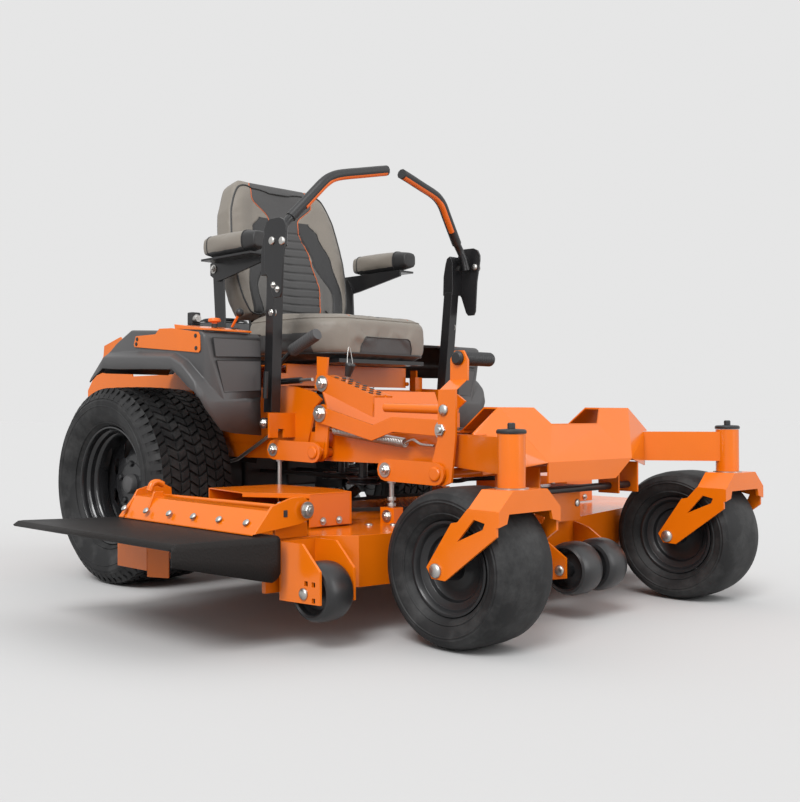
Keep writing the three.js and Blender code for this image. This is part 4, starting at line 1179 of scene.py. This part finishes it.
def deck_details():
    """Spindle housings, belt covers, hinge brackets, the rear wear strip and the deck's bolts."""
    housing = bmesh.new()
    section = [(0.022, 0), (0.072, 0), (0.072, 0.004), (0.046, 0.008), (0.038, 0.019), (0.022, 0.019)]
    for x, y in SPINDLES:
        spin(housing, section, mm(x, y, 220.2), Z, 40, closed=True)
    from_bmesh("spindle_housings", housing, CAST, "deck", 0.0008)
    for x, y in SPINDLES:
        for k in range(4):
            angle = math.pi / 4 + k * math.pi / 2
            bolts.hex("deck", x + 60 * math.cos(angle), y + 60 * math.sin(angle), 224.4, (0, 0, 1), 6.5)
    for side, sign in BOTH:
        for x in (470, 520):
            bolts.hex("deck", sign * x, -842.5, 236, (0, -1, 0), 6)
        bolts.hex("deck", sign * 340.2, -870, 238, (sign, 0, 0), 10)
        bolts.dome("deck", sign * 400, -870, 220.2, (0, 0, 1), 9)
        bolts.dome("deck", sign * 360, -910, 220.2, (0, 0, 1), 9)
    for side, sign in BOTH:
        belt_cover(side, sign)
    ribs = [((-745, -940, 220.3), (-655, -932, 252)), ((-745, -478, 220.3), (-655, -470, 252))]
    blocks("hinge_brackets", ribs, ORANGE, "deck")
    for x in (-60, 60):
        bolts.dome("deck", x, -1125, 262, (0, -1, 0), 9)
    wear = [((-300, -352.5, 150), (300, -350.2, 200))]
    blocks("rear_wear_strip", wear, ORANGE, "deck")


def deflector():
    """The rubber flap: one folded sheet, its front skirt rounded at the inner corner."""
    bm = bmesh.new()
    grid = []
    for i in range(25):
        t = i / 24
        x = -1013 + 246 * t
        rear = -318 - 100 * t
        front = -956 - 26 * t
        foot = 190 - 54 * t + 22 * max(0, (t - 0.9) / 0.1) ** 2
        lift = 9 * max(0, (0.06 - t) / 0.06) ** 2
        fold = [(front + 9, 231 - lift), (front + 4, 229.5 - lift), (front + 1, 226), (front, 220)]
        top = [(rear, 231 - lift), ((rear + front) / 2, 231 - lift)]
        column = [*top, *fold, (front, (220 + foot) / 2), (front, foot)]
        grid.append([bm.verts.new(mm(x, y, z)) for y, z in column])
    for a, b in zip(grid, grid[1:]):
        for i in range(len(a) - 1):
            bm.faces.new((a[i], a[i + 1], b[i + 1], b[i]))
    flap = from_bmesh("deflector_flap", bm, DEFLECTOR, "chute")
    thicken = flap.modifiers.new("thicken", "SOLIDIFY")
    thicken.thickness, thicken.offset = 0.0046, 0
    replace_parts(flap, "chute_deflector")


def chute_details():
    """The hinge plate with its ears, latch and bolts, and the return spring on the hinge rod."""
    bm = bmesh.new()
    low, high = ((-819, -958, 237.5), (-800, -430, 237.5)), ((-778, -958, 282), (-772, -452, 286))
    shelf = ((-748, -958, 283), (-744, -470, 288))
    for a, b in ((low, high), (high, shelf)):
        skin(bm, [[mm(*a[0]), mm(*a[1])], [mm(*b[0]), mm(*b[1])]],
             [[mm(*a[0]) - Z * 0.003, mm(*a[1]) - Z * 0.003], [mm(*b[0]) - Z * 0.003, mm(*b[1]) - Z * 0.003]])
    ears = (([(-819, 238), (-772, 292), (-722, 306), (-690, 308), (-668, 296), (-660, 262), (-700, 250)],
             -958),
            ([(-806, 238), (-764, 300), (-700, 316), (-668, 300), (-664, 262), (-700, 252)], -452),
            ([(-800, 242), (-776, 300), (-752, 300), (-748, 276), (-762, 262)], -540))
    for outline, y in ears:
        prism(bm, outline, mm(0, y, 0), X, Z, 6)
    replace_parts(from_bmesh("hinge_plate", bm, ORANGE, "chute", 0.001), "chute_hinge_plate")
    rod = [mm(-685, -972, 280), mm(-685, -446, 280)]
    wire("hinge_rod", rod, 0.006, ORANGE, "chute")
    handle = [mm(-760, -500, 298), mm(-752, -500, 314), mm(-738, -500, 318), mm(-722, -500, 312)]
    wire("latch_handle", curved(handle), 0.008, ORANGE, "chute")
    for k in range(6):
        bolts.dome("chute", -803 - 1.5 * (5 - k) / 5, -920 + 92 * k, 258, (-0.75, 0, 0.66), 8)
    bolts.hex("chute", -685, -972, 280, (0, -1, 0), 12)
    coil_run = coil(mm(-685, -944, 280), mm(-685, -880, 280), 0.0105, 9, 12)
    wire("chute_spring", coil_run, 0.0018, ZINC, "chute")
    # Painted shade: a thin dark plate stands for the shadowed opening of the latch slot.
    slot_shades = [((-742, -965, 268), (-732, -963.6, 282))]
    blocks("chute_slot_shade", slot_shades, DARK_PLASTIC, "chute", 0.0001)


# ---------------------------------------------------------------- power unit and underside
def engine_details():
    """The engine's fins, grille, lid and pipes, the drive's hoses, rods and belt, and the front rod."""
    bm = bmesh.new()
    for sign in (1, -1):
        fin = [(sign * 84, 200), (sign * 140, 388), (sign * 228, 340), (sign * 178, 176)][::-sign]
        for k in range(7):
            prism(bm, fin, mm(0, 0, 508 + 13 * k), X, Y, 3)
    from_bmesh("cooling_fins", bm, CAST, "chassis")
    grille = bmesh.new()
    for k in range(6):
        radius = 0.036 + 0.022 * k
        height = 0.796 - 0.0021 * k * k
        spin(grille, [(radius, 0), (radius + 0.006, 0), (radius + 0.006, 0.006), (radius, 0.006)],
             mm(0, 215, 0) + Z * (height - 0.006), Z, 48, closed=True)
    from_bmesh("shroud_grille", grille, BLACK, "chassis", 0.0008)
    blocks("filter_lid", [((-90, 306, 752), (90, 424, 762))], DARK_PLASTIC, "chassis", 0.006)
    pipe = ((190, 340, 500), (200, 380, 480), (150, 420, 500), (120, 440, 520))
    hose = ((170, 20, 350), (205, -40, 380), (200, -110, 352), (150, -150, 340))
    rod = ((306, -440, 440), (300, -250, 352), (296, -90, 320))

    def on_side(points, sign):
        return [mm(sign * x, y, z) for x, y, z in points]

    for side, sign in BOTH:
        wire(f"exhaust_pipe_{side}", curved(on_side(pipe, sign)), 0.014, CAST, "chassis")
    for side, sign in BOTH:
        wire(f"hydraulic_hose_{side}", curved(on_side(hose, sign)), 0.009, BELT, "chassis")
        wire(f"drive_rod_{side}", on_side(rod, sign), 0.005, ZINC, "chassis")
        rings = bmesh.new()
        for k in range(5):
            spin(rings, [(0.026, 0), (0.060 - 0.004 * k, 0), (0.060 - 0.004 * k, 0.004), (0.026, 0.004)],
                 mm(sign * (308 + 9 * k), 0, 279), X * sign, 32, closed=True)
        from_bmesh(f"axle_housing_{side}", rings, BLACK, "chassis", 0.0008)
        for k in range(4):
            angle = math.pi / 4 + math.pi / 2 * k
            y, z = 42 * math.cos(angle), 279 + 42 * math.sin(angle)
            bolts.hex("chassis", sign * 306, y, z, (sign, 0, 0), 6)
    idler = bmesh.new()
    for x, y, r in ((-190, -640, 45), (205, -760, 45), (-60, -420, 52), (120, -250, 45)):
        spin(idler, [(0, 0), (r / 1000, 0), (r / 1000, 0.003), (r / 1000 - 0.008, 0.009), (r / 1000, 0.015),
                     (r / 1000, 0.018), (0, 0.018)], mm(x, y, 296), Z, 40)
        spin(idler, [(0, 0), (0.012, 0), (0.012, 0.058), (0, 0.058)], mm(x, y, 300), Z, 20)
    from_bmesh("idler_pulleys", idler, BLACK, "chassis", 0.0006)
    belt = [(-66, 250), (-105, -420), (-145, -640), (-60, -820), (40, -800), (160, -760), (66, -250),
            (62, 195), (-66, 250)]
    wire("drive_belt", curved([mm(x, y, 306) for x, y in belt], 10), 0.006, BELT, "chassis")
    tank = bmesh.new()
    for sign in (1, -1):
        box = [(-150, 470), (-380, 470), (-380, 540), (-150, 540)]
        prism(tank, box, mm(sign * 120 - 95, 0, 0), Y, Z, 190)
    for sign in (1, -1):
        prism(tank, [(-95, 255), (100, 255), (100, 380), (60, 405), (-60, 405), (-95, 380)],
              mm(sign * 84 - 62, 0, 0), Y, Z, 124)
    from_bmesh("battery_and_pump_cover", tank, DARK_PLASTIC, "chassis", 0.008)
    crossbar = [mm(-280, -1150, 300), mm(280, -1150, 300)]
    wire("front_cross_rod", crossbar, 0.009, BLACK, "chassis")
    plates = []
    for x in (160, 246, -166, -252):
        plates.append(((x, -1178, 282), (x + 6, -1120, 358)))
    blocks("front_rod_brackets", plates, ORANGE, "chassis")


def nose_and_floor():
    """Raised foot grips and the screws of the floor pan."""
    treads = []
    for row in range(7):
        for side in (-1, 1):
            x0 = side * 120 - 70
            y0 = -980 + 52 * row
            treads.append(((x0, y0, 438.2), (x0 + 140, y0 + 10, 440.2)))
    blocks("foot_grips", treads, DARK_PLASTIC, "chassis", 0.0008)
    for x in (-205, 205):
        for y in (-1012, -590):
            bolts.dome("chassis", x, y, 438.2, (0, 0, 1), 8)


# ---------------------------------------------------------------- studio
# The backdrop's brightness, and the floor's colour before it is lit.
PAPER_GLOW = 0.79
PAPER_COLOR = 0.505


def sun(name, toward, power, spread):
    """A distant soft light, even over the whole floor."""
    data = bpy.data.lights.new(name, "SUN")
    data.energy = power
    data.angle = math.radians(spread)
    light = bpy.data.objects.new(name, data)
    light.rotation_euler = Vector(toward).to_track_quat("-Z", "Y").to_euler()
    bpy.context.scene.collection.objects.link(light)


def softbox(name, location, target, size, power, spared):
    """A large lamp that shapes the machine's highlights and leaves the floor alone."""
    data = bpy.data.lights.new(name, "AREA")
    data.shape = "RECTANGLE"
    data.size, data.size_y = size
    data.energy = power
    light = bpy.data.objects.new(name, data)
    light.location = location
    light.rotation_euler = (target - location).to_track_quat("-Z", "Y").to_euler()
    light.light_linking.receiver_collection = spared
    bpy.context.scene.collection.objects.link(light)


def studio():
    """A pale paper floor that runs into an even backdrop, lit by three suns and two softboxes."""
    bm = bmesh.new()
    corners = [(-60, -60), (60, -60), (60, 60), (-60, 60)]
    bm.faces.new([bm.verts.new((x, y, -0.0005)) for x, y in corners])
    mesh = bpy.data.meshes.new("floor")
    bm.to_mesh(mesh)
    bm.free()
    floor = bpy.data.objects.new("floor", mesh)
    bpy.context.scene.collection.objects.link(floor)
    paper = bpy.data.materials.new("studio_paper")
    paper.use_nodes = True
    sheen = paper.node_tree.nodes["Principled BSDF"]
    sheen.inputs["Base Color"].default_value = (PAPER_COLOR, PAPER_COLOR, PAPER_COLOR, 1)
    sheen.inputs["Roughness"].default_value = 1.0
    sheen.inputs["Specular IOR Level"].default_value = 0.0
    mesh.materials.append(paper)
    world = bpy.data.worlds.new("studio")
    bpy.context.scene.world = world
    world.use_nodes = True
    backdrop = world.node_tree.nodes["Background"]
    backdrop.inputs["Color"].default_value = (PAPER_GLOW, PAPER_GLOW, PAPER_GLOW, 1)
    sun("key", (0.65, 0.35, -0.75), 2.2, 25)
    sun("fill", (-0.5, 0.8, -0.5), 0.6, 60)
    sun("top", (0, -0.1, -1), 0.6, 90)
    spared = bpy.data.collections.new("floor_left_alone")
    spared.objects.link(floor)
    spared.collection_objects[0].light_linking.link_state = "EXCLUDE"
    middle = Vector((0, 0, 0.5))
    softbox("left_box", Vector((-3.4, -1.6, 2.2)), middle, (0.9, 2.6), 50, spared)
    softbox("front_box", Vector((0.8, -4.2, 1.6)), middle, (0.7, 2.4), 28, spared)
    view = bpy.context.scene.view_settings
    view.view_transform = "Standard"
    view.look = "None"


def camera():
    """A level long lens from the front right-hand corner, framed to the right of its axis."""
    data = bpy.data.cameras.new("camera")
    data.sensor_fit = "HORIZONTAL"
    data.sensor_width = 36
    data.lens = 48.04
    data.shift_x = 0.1125
    data.clip_end = 200
    eye = bpy.data.objects.new("camera", data)
    eye.location = mm(-2163.9, -2621.07, 478.79)
    yaw, pitch, roll = (math.radians(a) for a in (42.06, -0.70, -0.10))
    look = Vector((math.sin(yaw) * math.cos(pitch), math.cos(yaw) * math.cos(pitch), -math.sin(pitch)))
    turn = look.to_track_quat("-Z", "Y") @ Matrix.Rotation(roll, 3, "Z").to_quaternion()
    eye.rotation_euler = turn.to_euler()
    bpy.context.scene.collection.objects.link(eye)
    bpy.context.scene.camera = eye


# ---------------------------------------------------------------- build
camera()
dress_cad_nodes()
for label, way in BOTH:
    drive_tyre(label)
    drive_rim(label, way)
    caster_wheel(label)
    caster_details(label, way)
    lever(label, way)
    fender(label, way)
    armrest(label, way)
deck_rollers()
seat_back()
seat_cushion()
console()
grips()
height_pin()
linkage()
selector_hole_shade()
deck_details()
deflector()
chute_details()
engine_details()
nose_and_floor()
bolts.build()
studio()
